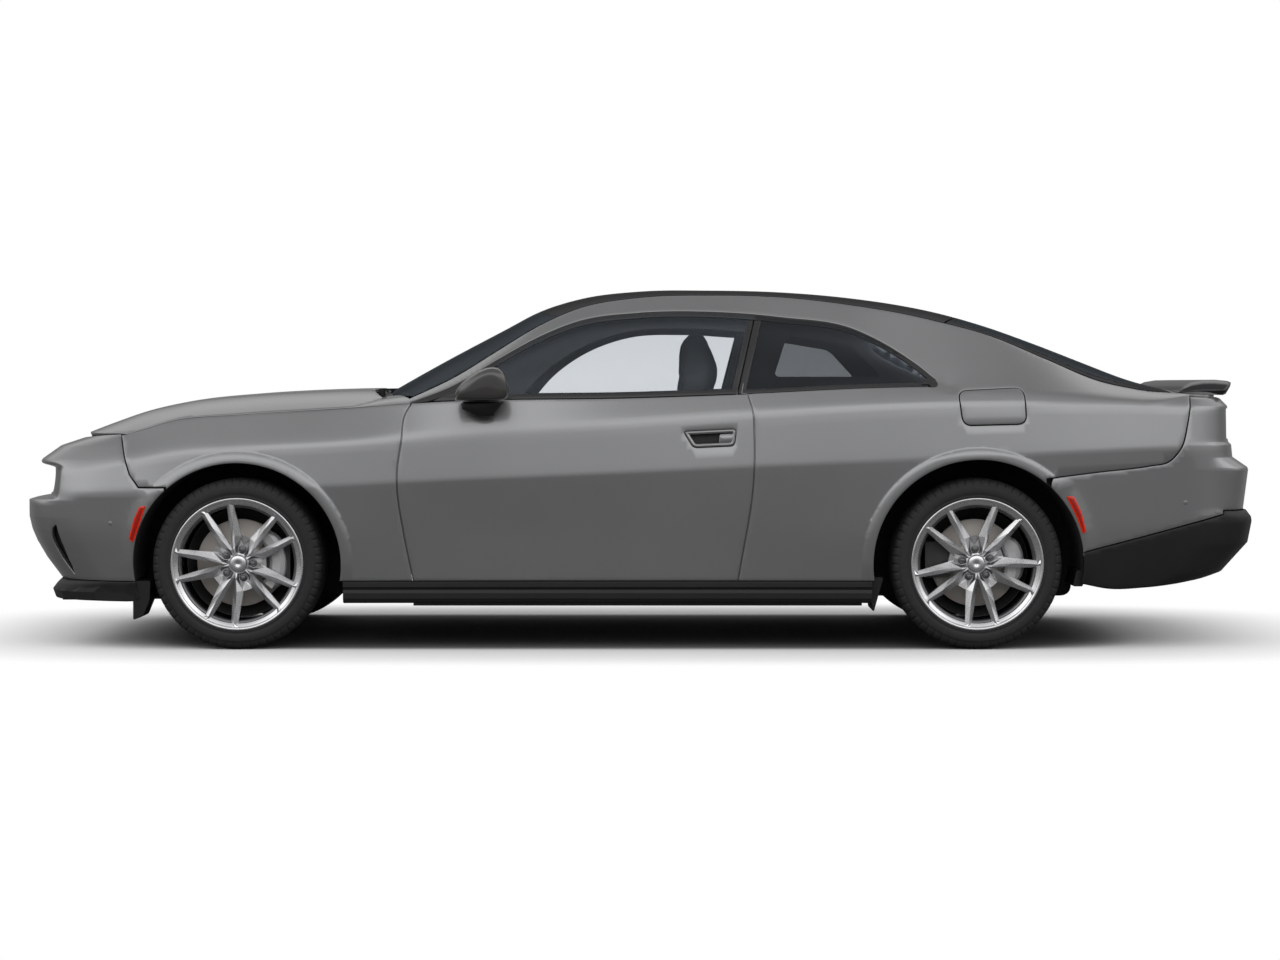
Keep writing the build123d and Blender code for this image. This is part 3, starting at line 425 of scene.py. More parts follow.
def plate(name, surface, outline, inside, depth, material, holes=(), roll=0.003, away=(0, -1, 0)):
    """A closed sheet cut from a surface: surface(u, v) gives points, outline and holes are loops of (u, v).

    Three rings follow each loop; the outermost drops by the edge's roll. The back lies depth behind.
    """
    loops = []
    for number, loop in enumerate((outline, *holes)):
        forward = anticlockwise(loop)
        loops.append(forward if number == 0 else forward[::-1])
    layers = [(loops, roll), ([drawn_in(l, roll * 0.35) for l in loops], roll * 0.3),
              ([drawn_in(l, roll) for l in loops], 0.0)]
    rim = [loop for layer, _ in layers for loop in layer]
    inside = inside[within(inside, layers[2][0])]
    inside = inside[clear_of(inside, loops, max(0.009, roll * 2))]
    flat = np.concatenate(rim + [inside])
    drop = np.concatenate([np.full(len(loop), fall) for layer, fall in layers for loop in layer]
                          + [np.zeros(len(inside))])
    edges, start = [], 0
    for loop in rim:
        count = len(loop)
        edges += [(start + i, start + (i + 1) % count) for i in range(count)]
        start += count
    made = geometry.delaunay_2d_cdt([Vector(p) for p in flat.tolist()], edges, [], 0, 1e-7)
    points = np.array([tuple(p) for p in made[0]])
    faces = np.array([f for f in made[2] if len(f) == 3])
    source = np.array([o[0] if o else -1 for o in made[3]])
    drop = np.where(source >= 0, drop[source], 0.0)
    faces = faces[within(points[faces].mean(axis=1), loops)]
    used = np.unique(faces)
    order = np.full(len(points), -1)
    order[used] = np.arange(len(used))
    points, drop, faces = points[used], drop[used], order[faces]
    u, v, tiny = points[:, 0], points[:, 1], 0.0005
    top = surface(u, v)
    normal = np.cross(surface(u + tiny, v) - surface(u - tiny, v),
                      surface(u, v + tiny) - surface(u, v - tiny))
    normal /= np.maximum(np.linalg.norm(normal, axis=1)[:, None], 1e-12)
    turned = np.cross(top[faces[:, 1]] - top[faces[:, 0]], top[faces[:, 2]] - top[faces[:, 0]])
    if np.sum(turned @ np.array(away)) < 0:
        faces = faces[:, ::-1]
    if np.sum(normal @ np.array(away)) < 0:
        normal = -normal
    front = top - normal * drop[:, None]
    back = top - normal * depth
    sides = np.concatenate((faces[:, [0, 1]], faces[:, [1, 2]], faces[:, [2, 0]]))
    keys = {tuple(e) for e in sides.tolist()}
    border = np.array([e for e in keys if (e[1], e[0]) not in keys])
    count = len(points)
    walls = np.stack((border[:, 1], border[:, 0], border[:, 0] + count, border[:, 1] + count), axis=1)
    everything = faces.tolist() + (faces[:, ::-1] + count).tolist() + walls.tolist()
    return mesh_piece(name, np.concatenate((front, back)), everything, material)


def show(piece, body, slot, *nodes):
    """Rides the piece on its body and hides the frame nodes it stands for; the slot is not used."""
    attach(piece, body)
    if nodes:
        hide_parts(*nodes)
    return piece


DOOR_FRONT = np.array([(-939, 286), (-978, 487), (-1003, 664), (-1004, 739), (-987, 866), (-973, 984),
                       (-958, 1010)]) / 1000
DOOR_REAR = np.array([(405, 286), (469, 706), (472, 880), (466, 990), (447, 1062)]) / 1000
GAP = 0.0045                                     # width of a shut line
door_front_x, sill_z = DOOR_FRONT[0]
door_rear_x = DOOR_REAR[0, 0]
no_points = np.empty((0, 2))                     # for a plate with nothing between its rims


def belt(x_from, x_to, drop=0.0, step=0.02):
    """The belt line between two places, a little below or above it."""
    x = np.linspace(x_from, x_to, max(2, int(abs(x_to - x_from) / step)))
    return np.stack((x, side_lines(x, 5)[1][4] - drop), axis=1)


def window_top(x_from, x_to, drop=0.0, step=0.02):
    """The window's upper edge between two places."""
    x = np.linspace(x_from, x_to, max(2, int(abs(x_to - x_from) / step)))
    return np.stack((x, smooth(RAIL[:, 0], RAIL[:, 2], x) - drop), axis=1)


def roof_edge(x_from, x_to, drop=0.0, step=0.02):
    """The roof's edge between two places."""
    x = np.linspace(x_from, x_to, max(2, int(abs(x_to - x_from) / step)))
    return np.stack((x, smooth(RAIL[:, 0], RAIL[:, 4], x) - drop), axis=1)


handle_hole = rounded([(0.220, 0.838), (0.393, 0.846), (0.401, 0.919), (0.177, 0.908)], 0.020)
door_outline = ring(run(DOOR_FRONT), belt(-0.950, 0.448, 0.001), run(DOOR_REAR)[::-1],
                    run([(door_rear_x, sill_z), (door_front_x, sill_z)]))
door = plate("door_skin_left", side, door_outline, body_grid(-1.0, 0.47), 0.020, body_paint, [handle_hole])
show(door, "door_left", "body_paint", "door_left")
show(mirrored(door, "door_skin_right"), "door_right", "body_paint", "door_right")

hinge_gap = np.array([GAP, 0.0])
fender_front = np.array([(-1.962, 0.677), (-2.078, 0.677), (-2.118, 0.728), (-2.176, 0.893)])
fender_outline = ring(
    run([(door_front_x - GAP, sill_z), (-1.246, sill_z)]), arc(FRONT_ARCH, -9, 132), run(fender_front[:2]),
    run(fender_front[1:3], 0.006), run(fender_front[2:]), belt(-2.176, -0.952 - GAP, 0.001),
    run(DOOR_FRONT - hinge_gap)[::-1],
)
fender = plate("fender_skin_left", side, fender_outline, body_grid(-2.2, -0.93), 0.004, body_paint)
show(fender, "body", "body_paint", "fender_left")
show(mirrored(fender, "fender_skin_right"), "body", "body_paint", "fender_right")

QUARTER_REAR = np.array([(2300, 1056), (2280, 941), (2241, 827), (2192, 780), (2116, 765), (1898, 740),
                         (1680, 713)]) / 1000
window_rear = run([(1.215, 1.091), (1.236, 1.094), (1.243, 1.104), (1.235, 1.122)], 0.006)
side_outline = ring(
    roof_edge(-0.985, 2.300), run(QUARTER_REAR), arc(REAR_ARCH, 50.5, 189),
    run([(0.973, sill_z), (0.409, sill_z)]), run(DOOR_REAR + hinge_gap), belt(0.452, 1.20, -0.001),
    window_rear, window_top(1.225, -0.985),
)
flap_hole = rounded([(1.336, 0.929), (1.603, 0.936), (1.596, 1.092), (1.318, 1.078)], 0.040)
side_grid = body_grid(-1.0, 2.32, 7)
left_side = plate("side_skin_left", tall_side, side_outline, side_grid, 0.012, body_paint, [flap_hole])
show(left_side, "body", "body_paint", "body_side_left")
right_side = plate("side_skin_right", tall_side, side_outline, side_grid, 0.012, body_paint)
right_side.data.transform(Matrix.Scale(-1, 4, (0, 1, 0)))
right_side.data.flip_normals()
show(right_side, "body", "body_paint", "body_side_right")
flap = plate("charge_flap_skin", tall_side, drawn_in(flap_hole, 0.004), side_grid, 0.004, body_paint,
             roll=0.002)
show(flap, "charge_flap", "body_paint", "charge_flap")

# ------------------------------------------------------------------ nose and tail
# Each bumper wraps round its end of the car as one moulded shell in body colour: a plan line from the centre
# to the corner, set back by an amount that changes with height, then the body side's own surface.
NOSE_PLAN = np.array([(0, 0), (480, 12), (700, 42), (800, 92), (862, 168), (905, 250)]) / 1000
TAIL_PLAN = np.array([(0, 0), (480, 10), (700, 36), (800, 84), (858, 150), (898, 232)]) / 1000
NOSE_FACE = np.array([(200, 190), (282, 142), (370, 75), (442, 33), (493, 12), (545, 0), (617, 0),
                      (627, 94), (755, 100), (765, 56), (775, 46), (786, 50), (843, 128), (880, 240),
                      (900, 300)]) / 1000
TAIL_FACE = np.array([(200, 286), (246, 250), (275, 226), (310, 128), (433, 16), (523, 0), (560, 6),
                      (577, 38), (742, 18), (752, 22), (795, 86), (848, 92), (860, 106), (1010, 104),
                      (1040, 130), (1060, 150)]) / 1000
NOSE_CORNER = np.array([(200, 190), (282, 142), (370, 75), (442, 33), (493, 12), (545, 0), (617, 0),
                        (640, 20), (740, 26), (786, 50), (843, 128), (880, 240), (900, 300)]) / 1000
TAIL_CORNER = np.array([(200, 286), (246, 250), (275, 226), (310, 128), (433, 40), (523, 40), (580, 62),
                        (750, 78), (820, 92), (862, 106), (1010, 104), (1040, 130), (1060, 150)]) / 1000
NOSE_X, TAIL_X = -2.624, 2.624
END_SOFT = 0.003                                 # how far the bends between an end's levels are eased
CORNER_FROM, CORNER_OVER = 0.82, 0.10            # where along the plan line the corner's face takes over
# Five nearby places along the plan line, and the share of each in a rounded bend.
ROUNDING = ((-0.024, 0.12), (-0.012, 0.22), (0.0, 0.32), (0.012, 0.22), (0.024, 0.12))


def end_surface(extreme, plan, face, side_end, corner_face=None, turn_in=9.0):
    """A bumper's surface over (s, z): s runs from the centre along the plan line (the left side positive).

    face gives how far the middle is set back at each height, corner_face the corners and sides.
    """
    corner_face = face if corner_face is None else corner_face
    forward = np.sign(extreme)
    along = np.concatenate(([0], np.cumsum(np.hypot(*np.diff(plan, axis=0).T))))
    corner = along[-1]
    reach = corner + 0.42                        # as far as s runs along the body side

    def set_back(z, table):
        """How far a table's face lies behind the extreme at each height, its bends eased."""
        slopes = np.diff(table[:, 1]) / np.diff(table[:, 0])
        depth = table[0, 1] + slopes[0] * (z - table[0, 0])
        for i in range(1, len(slopes)):
            depth = depth + (slopes[i] - slopes[i - 1]) * eased(z - table[i, 0], END_SOFT)
        return depth

    def line(s, z):
        """x and y along the plan line, then along the body side beyond the corner."""
        far = np.abs(s)
        at_corner = set_back(z, corner_face)
        share = np.clip((far - CORNER_FROM) / CORNER_OVER, 0, 1)
        back = set_back(z, face) + (at_corner - set_back(z, face)) * share ** 2 * (3 - 2 * share)
        corner_x = extreme - forward * (plan[-1, 1] + at_corner)
        scale = half_width(corner_x, z) / plan[-1, 0]
        y = smooth(along, plan[:, 0], np.minimum(far, corner)) * scale
        x = extreme - forward * (smooth(along, plan[:, 1], np.minimum(far, corner)) + back)
        beyond = far > corner
        x_side = corner_x + (far - corner) / (reach - corner) * (side_end - corner_x)
        x = np.where(beyond, x_side, x)
        y = np.where(beyond, half_width(np.where(beyond, x_side, corner_x), z), y)
        return x, y * np.sign(s + 1e-12)

    def surface(s, z):
        """The line with its bends rounded; above turn_in the face turns inwards as a flange."""
        level = np.minimum(z, turn_in)
        x, y = 0.0, 0.0
        for shift, weight in ROUNDING:
            part = line(s + shift, level)
            x, y = x + part[0] * weight, y + part[1] * weight
        over = z - level
        ahead = np.array(line(s + 0.01, level)) - np.array(line(s - 0.01, level))
        ahead = ahead / np.maximum(np.hypot(*ahead), 1e-9)
        x = x + over * -forward * np.abs(ahead[1])
        y = y - over * np.abs(ahead[0]) * np.sign(s + 1e-12)
        return np.stack((x, -y, level + np.minimum(over, 0.012) * 0.5), axis=1)

    def place(points):
        """(x, z) points on the left side as (s, z)."""
        points = np.asarray(points, float)
        s = np.linspace(0.0, reach + 0.1, 800)
        found = []
        for x, z in points:
            row = surface(s, np.full(len(s), z))[:, 0] * -forward
            found.append(np.interp(x * -forward, np.maximum.accumulate(row), s))
        return np.stack((found, points[:, 1]), axis=1)

    return surface, place


def end_grid(levels, reach, step=0.024):
    """Points along each of a bumper's levels, and beside them."""
    s = np.arange(-reach, reach, step)
    heights = [levels[0]]
    for low, high in zip(levels[:-1], levels[1:]):
        heights += [low - 0.0025, low, low + 0.0025,
                    *np.linspace(low, high, max(2, int((high - low) / 0.018) + 1))[1:-1]]
    keep = [levels[0]]
    for height in sorted(heights):
        if height - keep[-1] > 0.0022:
            keep.append(height)
    return np.stack([a.ravel() for a in np.meshgrid(s, np.array(keep))], axis=1)


def both_halves(half):
    """A left half outline, from the bottom centre round to the top centre, closed by its mirror image."""
    return ring(half, half[::-1] * (-1, 1))


def four_sided(corners, step=0.02):
    """A closed outline through four corners, from the lower left one; its level sides take step."""
    a, b, c, d = corners
    return ring(run([a, b], step), run([b, c]), run([c, d], step), run([d, a]))


def band(half, low, high):
    """The outline of a level strip across the middle, between two heights."""
    return four_sided([(-half, low), (half, low), (half, high), (-half, high)])


nose, nose_place = end_surface(NOSE_X, NOSE_PLAN, NOSE_FACE, -1.95, NOSE_CORNER)
corner_foot = nose_place([(-2.0985, 0.284)])[0]
corner_top = nose_place([(-2.176 - GAP, 0.893)])[0]
nose_half = np.concatenate((
    run([(0, 0.284), corner_foot], 0.02), nose_place(arc(FRONT_ARCH, 189.5, 133.5)),
    nose_place(run([(-1.972, 0.677 - GAP), (-2.080, 0.677 - GAP)])),
    nose_place(run([(-2.080, 0.677 - GAP), (-2.122, 0.728)], 0.008)),
    nose_place(run([(-2.122, 0.728), (-2.176 - GAP, 0.893)])),
    run([corner_top, (0.62, 0.879), (0, 0.879)], 0.02),
))
slot_left = run([(0.705, 0.645), (0.722, 0.656), (0.724, 0.748), (0.708, 0.759)], 0.008)
slot_right = run([(-0.708, 0.759), (-0.724, 0.748), (-0.722, 0.656), (-0.705, 0.645)], 0.008)
lamp_slot = ring(run([(-0.705, 0.645), (0.705, 0.645)], 0.02), slot_left,
                 run([(0.708, 0.759), (-0.708, 0.759)], 0.02), slot_right)
low_slot = four_sided([(-0.50, 0.352), (0.50, 0.352), (0.56, 0.458), (-0.56, 0.458)])
curtain = rounded(nose_place([(-2.440, 0.518), (-2.460, 0.500), (-2.463, 0.465), (-2.446, 0.420),
                              (-2.412, 0.362), (-2.366, 0.303), (-2.378, 0.345),
                              (-2.412, 0.430)]), 0.010, 0.008)
bumper = plate("front_bumper_skin", nose, both_halves(nose_half), end_grid(NOSE_FACE[1:-1, 0], 1.45), 0.020,
               body_paint, [lamp_slot, low_slot, curtain, curtain * (-1, 1)], away=(-1, 0, 0))
show(bumper, "body", "body_paint", "front_bumper")

tail, tail_place = end_surface(TAIL_X, TAIL_PLAN, TAIL_FACE, 1.82, TAIL_CORNER, turn_in=1.042)
VALANCE_TOP = np.array([(1.780, 0.388), (1.840, 0.408), (2.440, 0.560), (2.575, 0.578)])
quarter_gap = QUARTER_REAR + (GAP, -0.003)
valance_side = tail_place(run(VALANCE_TOP[1:3]))
seam_corner = valance_side[-1][0]
tail_half = np.concatenate((
    run([(0, 0.577), (seam_corner - 0.012, 0.577)], 0.02), valance_side[::-1],
    tail_place(arc(REAR_ARCH, 49.8, 4.0)[::-1]), tail_place(run(quarter_gap)[::-1][2:]),
    [tail_place([(2.302, 1.042)])[0] + (0, 0.016)],
    run([(0.98, 1.140), (0.80, 1.085), (0.70, 1.075), (0, 1.055)], 0.02),
))
lamp_bay = rounded([(-0.720, 0.872), (0.720, 0.872), (0.720, 1.000), (-0.720, 1.000)], 0.016, 0.02)
tail_levels = np.concatenate((TAIL_FACE[3:-1, 0], [1.042, 1.06, 1.09, 1.12]))
rear = plate("rear_bumper_skin", tail, both_halves(tail_half), end_grid(tail_levels, 1.45), 0.016,
             body_paint, [lamp_bay], away=(1, 0, 0))
show(rear, "body", "body_paint", "rear_bumper")

# ------------------------------------------------------------------ lower trims
# Satin black moulded plastic below the paint: the splitter under the nose, the skirts between the wheels and
# the valance round the tail, each a closed sheet with a fine moulded grain.
trim_black = plain_finish("trim_black", (0.007, 0.007, 0.0075), (0.012, 0.012, 0.0125), 0.45, 0.12, 0.12,
                          0.0012, 0.0002, Specular_IOR_Level=0.35)
SPLITTER_FACE = np.array([(186, 126), (198, 110), (235, 96), (262, 118), (284, 142), (300, 150)]) / 1000
splitter_surface, splitter_place = end_surface(NOSE_X, NOSE_PLAN, SPLITTER_FACE, -1.95)
splitter_half = np.concatenate((
    run([(0, 0.198), (1.10, 0.198)], 0.02), splitter_place(run([(-2.140, 0.198), (-2.090, 0.200)])),
    splitter_place(arc(FRONT_ARCH, 200, 190)),
    run([splitter_place([(-2.098, 0.281)])[0], (0, 0.281)], 0.02),
))
splitter = plate("splitter_skin", splitter_surface, both_halves(splitter_half),
                 end_grid(SPLITTER_FACE[1:-1, 0], 1.45), 0.05, trim_black, away=(-1, 0, 0))
show(splitter, "body", "black_trim")

VALANCE_LOW = np.array([(1.842, 0.272), (1.95, 0.252), (2.10, 0.256), (2.30, 0.276), (2.36, 0.285),
                        (2.392, 0.292)])
valance_low = tail_place(run(VALANCE_LOW, 0.02))
valance_half = np.concatenate((
    run([(0, 0.292), valance_low[-1]], 0.02), valance_low[::-1],
    tail_place(arc(REAR_ARCH, -11, 4.5)), valance_side + (0, -0.004),
    run([(seam_corner - 0.012, 0.573), (0, 0.573)], 0.02),
))
valance_slot = four_sided([(-0.46, 0.330), (0.46, 0.330), (0.50, 0.452), (-0.50, 0.452)])
valance = plate("rear_valance_skin", tail, both_halves(valance_half), end_grid(TAIL_FACE[1:7, 0], 1.45),
                0.018, trim_black, [valance_slot], away=(1, 0, 0))
show(valance, "body", "black_trim", "rear_valance")


def swept(name, sections, material, closed_ends=True, soft=True):
    """A skin through sections, an array (stations, corners, 3) of closed loops; the ends are capped."""
    sections = np.asarray(sections, float)
    stations, corners = sections.shape[:2]
    index = np.arange(stations * corners).reshape(stations, corners)
    a, b = index[:-1], np.roll(index, -1, axis=1)[:-1]
    c, d = np.roll(index, -1, axis=1)[1:], index[1:]
    faces = np.stack((a, b, c, d), axis=-1).reshape(-1, 4).tolist()
    points = sections.reshape(-1, 3)
    if closed_ends:
        middle = len(points)
        points = np.concatenate((points, sections[0].mean(axis=0)[None], sections[-1].mean(axis=0)[None]))
        for i in range(corners):
            j = (i + 1) % corners
            faces.append([int(index[0, j]), int(index[0, i]), middle])
            faces.append([int(index[-1, i]), int(index[-1, j]), middle + 1])
    piece = mesh_piece(name, points, faces, material, soft)
    volume = 0.0
    for face in piece.data.polygons:
        corner = [Vector(points[i]) for i in face.vertices[:3]]
        volume += corner[0].dot(corner[1].cross(corner[2])) * (2 if len(face.vertices) == 4 else 1)
    if volume < 0:
        piece.data.flip_normals()
    return piece


skirt_x = np.linspace(-1.232, 0.962, 60)
SKIRT = [(-8, 284), (0, 284), (5, 279), (6, 262), (-2, 250), (2, 236), (2, 214), (-6, 198), (-40, 192),
         (-60, 196), (-60, 284)]
SKIRT_Y, SKIRT_SHARE = 0.980, 0.6                # where its profile stands, and how far it follows the sill
SILL_Z, SILL_Y = 0.290, 0.9735                   # the sill's height, and the half-width that SKIRT_Y goes with
sill_swell = half_width(skirt_x, np.full(len(skirt_x), SILL_Z)) - SILL_Y
skirt_loops = [[(px, -(SKIRT_Y + out / 1000 + swell * SKIRT_SHARE), z / 1000) for out, z in SKIRT]
               for px, swell in zip(skirt_x, sill_swell)]
skirt = swept("side_skirt_left", skirt_loops, trim_black, soft=False)
show(skirt, "body", "black_trim", "side_skirts")
show(mirrored(skirt, "side_skirt_right"), "body", "black_trim")

# ------------------------------------------------------------------ hood, roof and tail panels
# Pressed sheets across the car. The hood falls from its centre to a crown line, then to the fenders' belt.
# The roof, screen and fastback share one arched surface between the roof edges, in gloss black.
HOOD = np.array([
    (-2430, 800, 842, 872, 878), (-2250, 818, 868, 942, 948), (-2110, 826, 905, 990, 997),
    (-1950, 842, 952, 1026, 1033), (-1672, 858, 976, 1056, 1063), (-1400, 858, 993, 1072, 1079),
    (-1130, 858, 1010, 1080, 1086), (-1040, 862, 1016, 1080, 1086),
]) / 1000
CENTRE = np.array([
    (-1090, 1072), (-985, 1133), (-855, 1206), (-589, 1347), (-448, 1421), (-266, 1479), (0, 1513),
    (300, 1517), (600, 1510), (903, 1486), (1163, 1449), (1260, 1430), (1497, 1366), (1720, 1288),
    (1943, 1201), (2122, 1128), (2233, 1092),
]) / 1000
CROWN_Y = 0.480
PRESS_Y, PRESS_HALF, PRESS_DEEP = 0.40, 0.05, 0.006     # the pressed hollow along each side of the hood
ARCH_POWER = 2.3                                 # how flat the roof's arch is in its middle


def hood_surface(x, y):
    """The hood: centre, crown line and edge, each a smooth line along the car."""
    edge_y, edge_z, crown_z, centre_z = (smooth(HOOD[:, 0], HOOD[:, c], x) for c in range(1, 5))
    far = np.abs(y)
    slope = 2 * (crown_z - centre_z) / CROWN_Y
    out = far - CROWN_Y
    reach = edge_y - CROWN_Y
    curve = (edge_z - crown_z - slope * reach) / reach ** 2
    z = np.where(out < 0, centre_z + (crown_z - centre_z) * (far / CROWN_Y) ** 2,
                 crown_z + slope * out + curve * out ** 2)
    pressed = (1 - np.clip(np.abs(far - PRESS_Y) / PRESS_HALF, 0, 1) ** 2) ** 2
    z = z - PRESS_DEEP * pressed * np.clip((x + 2.42) / 0.3, 0, 1)
    return np.stack((x, y, z), axis=1)


def arched_top(x, y, lift=0.0):
    """Windscreen, roof and fastback between the roof edges."""
    edge_y, edge_z = smooth(RAIL[:, 0], RAIL[:, 3], x), smooth(RAIL[:, 0], RAIL[:, 4], x)
    centre_z = smooth(CENTRE[:, 0], CENTRE[:, 1], x)
    share = np.clip(np.abs(y) / edge_y, 0, 1.2)
    return np.stack((x, y, edge_z + (centre_z - edge_z) * (1 - share ** ARCH_POWER) + lift), axis=1)


def flat_grid(x_from, x_to, half, step=0.03):
    """Square points in plan, as far as half each side of the middle."""
    grid = np.meshgrid(np.arange(x_from, x_to, step), np.arange(-half, half + step, step))
    return np.stack([a.ravel() for a in grid], axis=1)


def plan_ring(half):
    """A left half outline in plan, from the front centre to the rear centre, closed by its mirror image."""
    half = np.asarray(half)
    return ring(half, half[::-1] * (1, -1))


hood_side_x = np.linspace(-2.150, -1.230, 56)
hood_corner = np.array([(-1.195, -0.849), (-1.165, -0.836), (-1.135, -0.812), (-1.108, -0.779),
                        (-1.086, -0.738)])
hood_edge = np.stack((hood_side_x, -(smooth(HOOD[:, 0], HOOD[:, 1], hood_side_x) - GAP)), axis=1)
hood_front = [(-2.376, 0.0), (-2.366, -0.44), (-2.336, -0.62), (-2.290, -0.700), (-2.235, -0.752),
              (-2.190, -0.786)]
hood_rear = [(-1.086, -0.738), (-1.112, -0.66), (-1.136, -0.54), (-1.138, 0)]
hood_half = np.concatenate((run(hood_front, 0.015), hood_edge, run(hood_corner, 0.008),
                            run(hood_rear, 0.02)))
hood_outline = plan_ring(hood_half)
hood = plate("hood_skin", hood_surface, hood_outline, flat_grid(-2.4, -1.08, 0.86, 0.024), 0.022,
             body_paint, away=(0, 0, 1))
show(hood, "hood", "body_paint", "hood")


def fender_top(x, y):
    """The fender's top behind the hood's corner: an arch that rises inwards from the belt."""
    wide, high = side_lines(x, 7)
    inward = wide[4] - np.abs(y)
    return np.stack((x, y, high[4] + 0.30 * inward - 0.45 * inward ** 2), axis=1)


top_x = np.linspace(-1.235, -0.958, 24)
top_outer = np.stack((top_x, 0.0015 - side_lines(top_x, 7)[0][4]), axis=1)
top_inner = np.concatenate(([(-1.230, -0.8535)], hood_corner + (GAP * 0.6, GAP * 0.6)))
top_rear = [(-0.958, -0.850), (-0.990, -0.776), (-1.020, -0.730), (-1.050, -0.722), (-1.079, -0.733)]
top_ring = np.concatenate((top_outer, run(top_rear, 0.01), run(top_inner[::-1], 0.01)))
corner_piece = plate("fender_top_left", fender_top, top_ring, no_points, 0.004, body_paint, away=(0, 0, 1),
                     roll=0.001)
show(corner_piece, "body", "body_paint")
show(mirrored(corner_piece, "fender_top_right"), "body", "body_paint")

gloss_black = plain_finish("gloss_black", (0.006, 0.006, 0.008), (0.010, 0.010, 0.012), 0.16, 0.06, 0.3,
                           Coat_Weight=0.6, Coat_Roughness=0.03, Specular_IOR_Level=0.1)
roof_black = plain_finish("roof_black", (0.006, 0.006, 0.008), (0.010, 0.010, 0.012), 0.16, 0.06, 0.3,
                          Specular_IOR_Level=0.0, Coat_Weight=0.25, Coat_Roughness=0.03)


def side_edge(x_from, x_to, inset):
    """The roof's left edge in plan, drawn in by inset."""
    x = np.linspace(x_from, x_to, 60)
    return np.stack((x, -(smooth(RAIL[:, 0], RAIL[:, 3], x) - inset)), axis=1)


roof_front = run([(-0.448, 0.0), (-0.440, -0.25), (-0.400, -0.50), (-0.352, -0.648)])
roof_rear = run([(1.296, -0.594), (1.366, -0.30), (1.376, 0.0)])
roof_half = np.concatenate((roof_front[:-1], side_edge(-0.352, 1.296, 0.001), roof_rear[1:]))
roof = plate("roof_skin", arched_top, plan_ring(roof_half), flat_grid(-0.46, 1.39, 0.66), 0.018, roof_black,
             away=(0, 0, 1))
show(roof, "body", "black_panel", "roof_panel")

hatch_front = run([(1.382, 0.0), (1.372, -0.30), (1.303, -0.590)])
glass_front = [(1.402, 0.0), (1.393, -0.28), (1.350, -0.520)]
glass_side = [(1.350, -0.520), (1.70, -0.572), (2.03, -0.652)]
glass_foot = [(2.03, -0.652), (2.150, -0.560), (2.190, 0.0)]
glass_ring = plan_ring(np.concatenate((run(glass_front), run(glass_side), run(glass_foot))))
hatch_foot = run([(2.236, -0.756), (2.236, 0.0)], 0.03)
frame_outline = plan_ring(np.concatenate((hatch_front[:-1], side_edge(1.303, 2.236, 0.006), hatch_foot)))
hatch = plate("hatch_frame_skin", arched_top, frame_outline, flat_grid(1.29, 2.25, 0.78), 0.02, roof_black,
              [glass_ring], away=(0, 0, 1))
show(hatch, "hatch", "black_panel", "hatch")
DECK = np.array([(2236, 762, 1064, 1092), (2337, 763, 1059, 1072), (2500, 750, 1052, 1056)]) / 1000


def deck_surface(x, y):
    """The short deck behind the rear glass, arched as the roof is."""
    edge_y, edge_z, centre_z = (smooth(DECK[:, 0], DECK[:, c], x) for c in range(1, 4))
    share = np.clip(np.abs(y) / edge_y, 0, 1.1)
    return np.stack((x, y, edge_z + (centre_z - edge_z) * (1 - share ** ARCH_POWER)), axis=1)


deck_rear = run([(2.395, -0.754), (2.430, -0.680), (2.456, -0.47), (2.466, 0.0)])
deck_front = [(2.2365, 0.0), (2.2365, -0.756)]
deck_half = np.concatenate((run(deck_front, 0.03), run([deck_front[1], (2.395, -0.754)]), deck_rear[1:]))
deck = plate("deck_skin", deck_surface, plan_ring(deck_half), flat_grid(2.24, 2.47, 0.76), 0.018,
             body_paint, away=(0, 0, 1))
show(deck, "hatch", "body_paint")

WING_HALF, WING_FADE, DECK_Z = 0.70, 0.10, 1.060    # half-width, tapered length and foot height
wing_y = np.linspace(-WING_HALF, WING_HALF, 57)
WING = np.array([(2300, 1077), (2318, 1098), (2352, 1113), (2400, 1121), (2450, 1122), (2505, 1117),
                 (2521, 1110), (2519, 1099), (2500, 1062), (2488, 1056), (2440, 1088), (2380, 1092),
                 (2338, 1084)]) / 1000
ends = np.clip((WING_HALF - np.abs(wing_y)) / WING_FADE, 0, 1) ** 0.5
WING_X = 2.41                                    # where its profile shrinks to along the car
wing_loops = []
for y, full in zip(wing_y, ends):
    x = WING_X + (WING[:, 0] - WING_X) * (0.90 + 0.10 * full) - 0.03 * (1 - full)
    z = DECK_Z + (WING[:, 1] - DECK_Z) * (0.35 + 0.65 * full)
    wing_loops.append(np.stack((x, np.full(len(WING), y), z), axis=1))
wing = swept("spoiler_skin", wing_loops, gloss_black)
show(wing, "hatch", "black_panel", "spoiler")

# ------------------------------------------------------------------ glass
# Tinted safety glass in one dark grey; the screen and rear glass follow the arched top, the side panes lean
# inwards from the belt to the roof edge. Black mouldings frame them.
def glass(name, tint, sheen_colour):
    """See-through glass: light passes by its tint at each face and reflects more at a glance."""
    made = Finish(name)
    made.tree.nodes.remove(made.shader)
    clear = made.node("BsdfTransparent", Color=(*tint, 1.0))
    sheen = made.node("BsdfGlossy", Roughness=0.02, Color=(*sheen_colour, 1.0))
    share = made.out(made.node("Fresnel", IOR=1.45), "Fac") * (made.noise(0.5) * 0.2 + 0.8)
    both = made.node("MixShader")
    made.tree.links.new(share.socket, both.inputs[0])
    made.tree.links.new(clear.outputs[0], both.inputs[1])
    made.tree.links.new(sheen.outputs[0], both.inputs[2])
    made.tree.links.new(both.outputs[0], made.tree.nodes["Material Output"].inputs["Surface"])
    return made.material


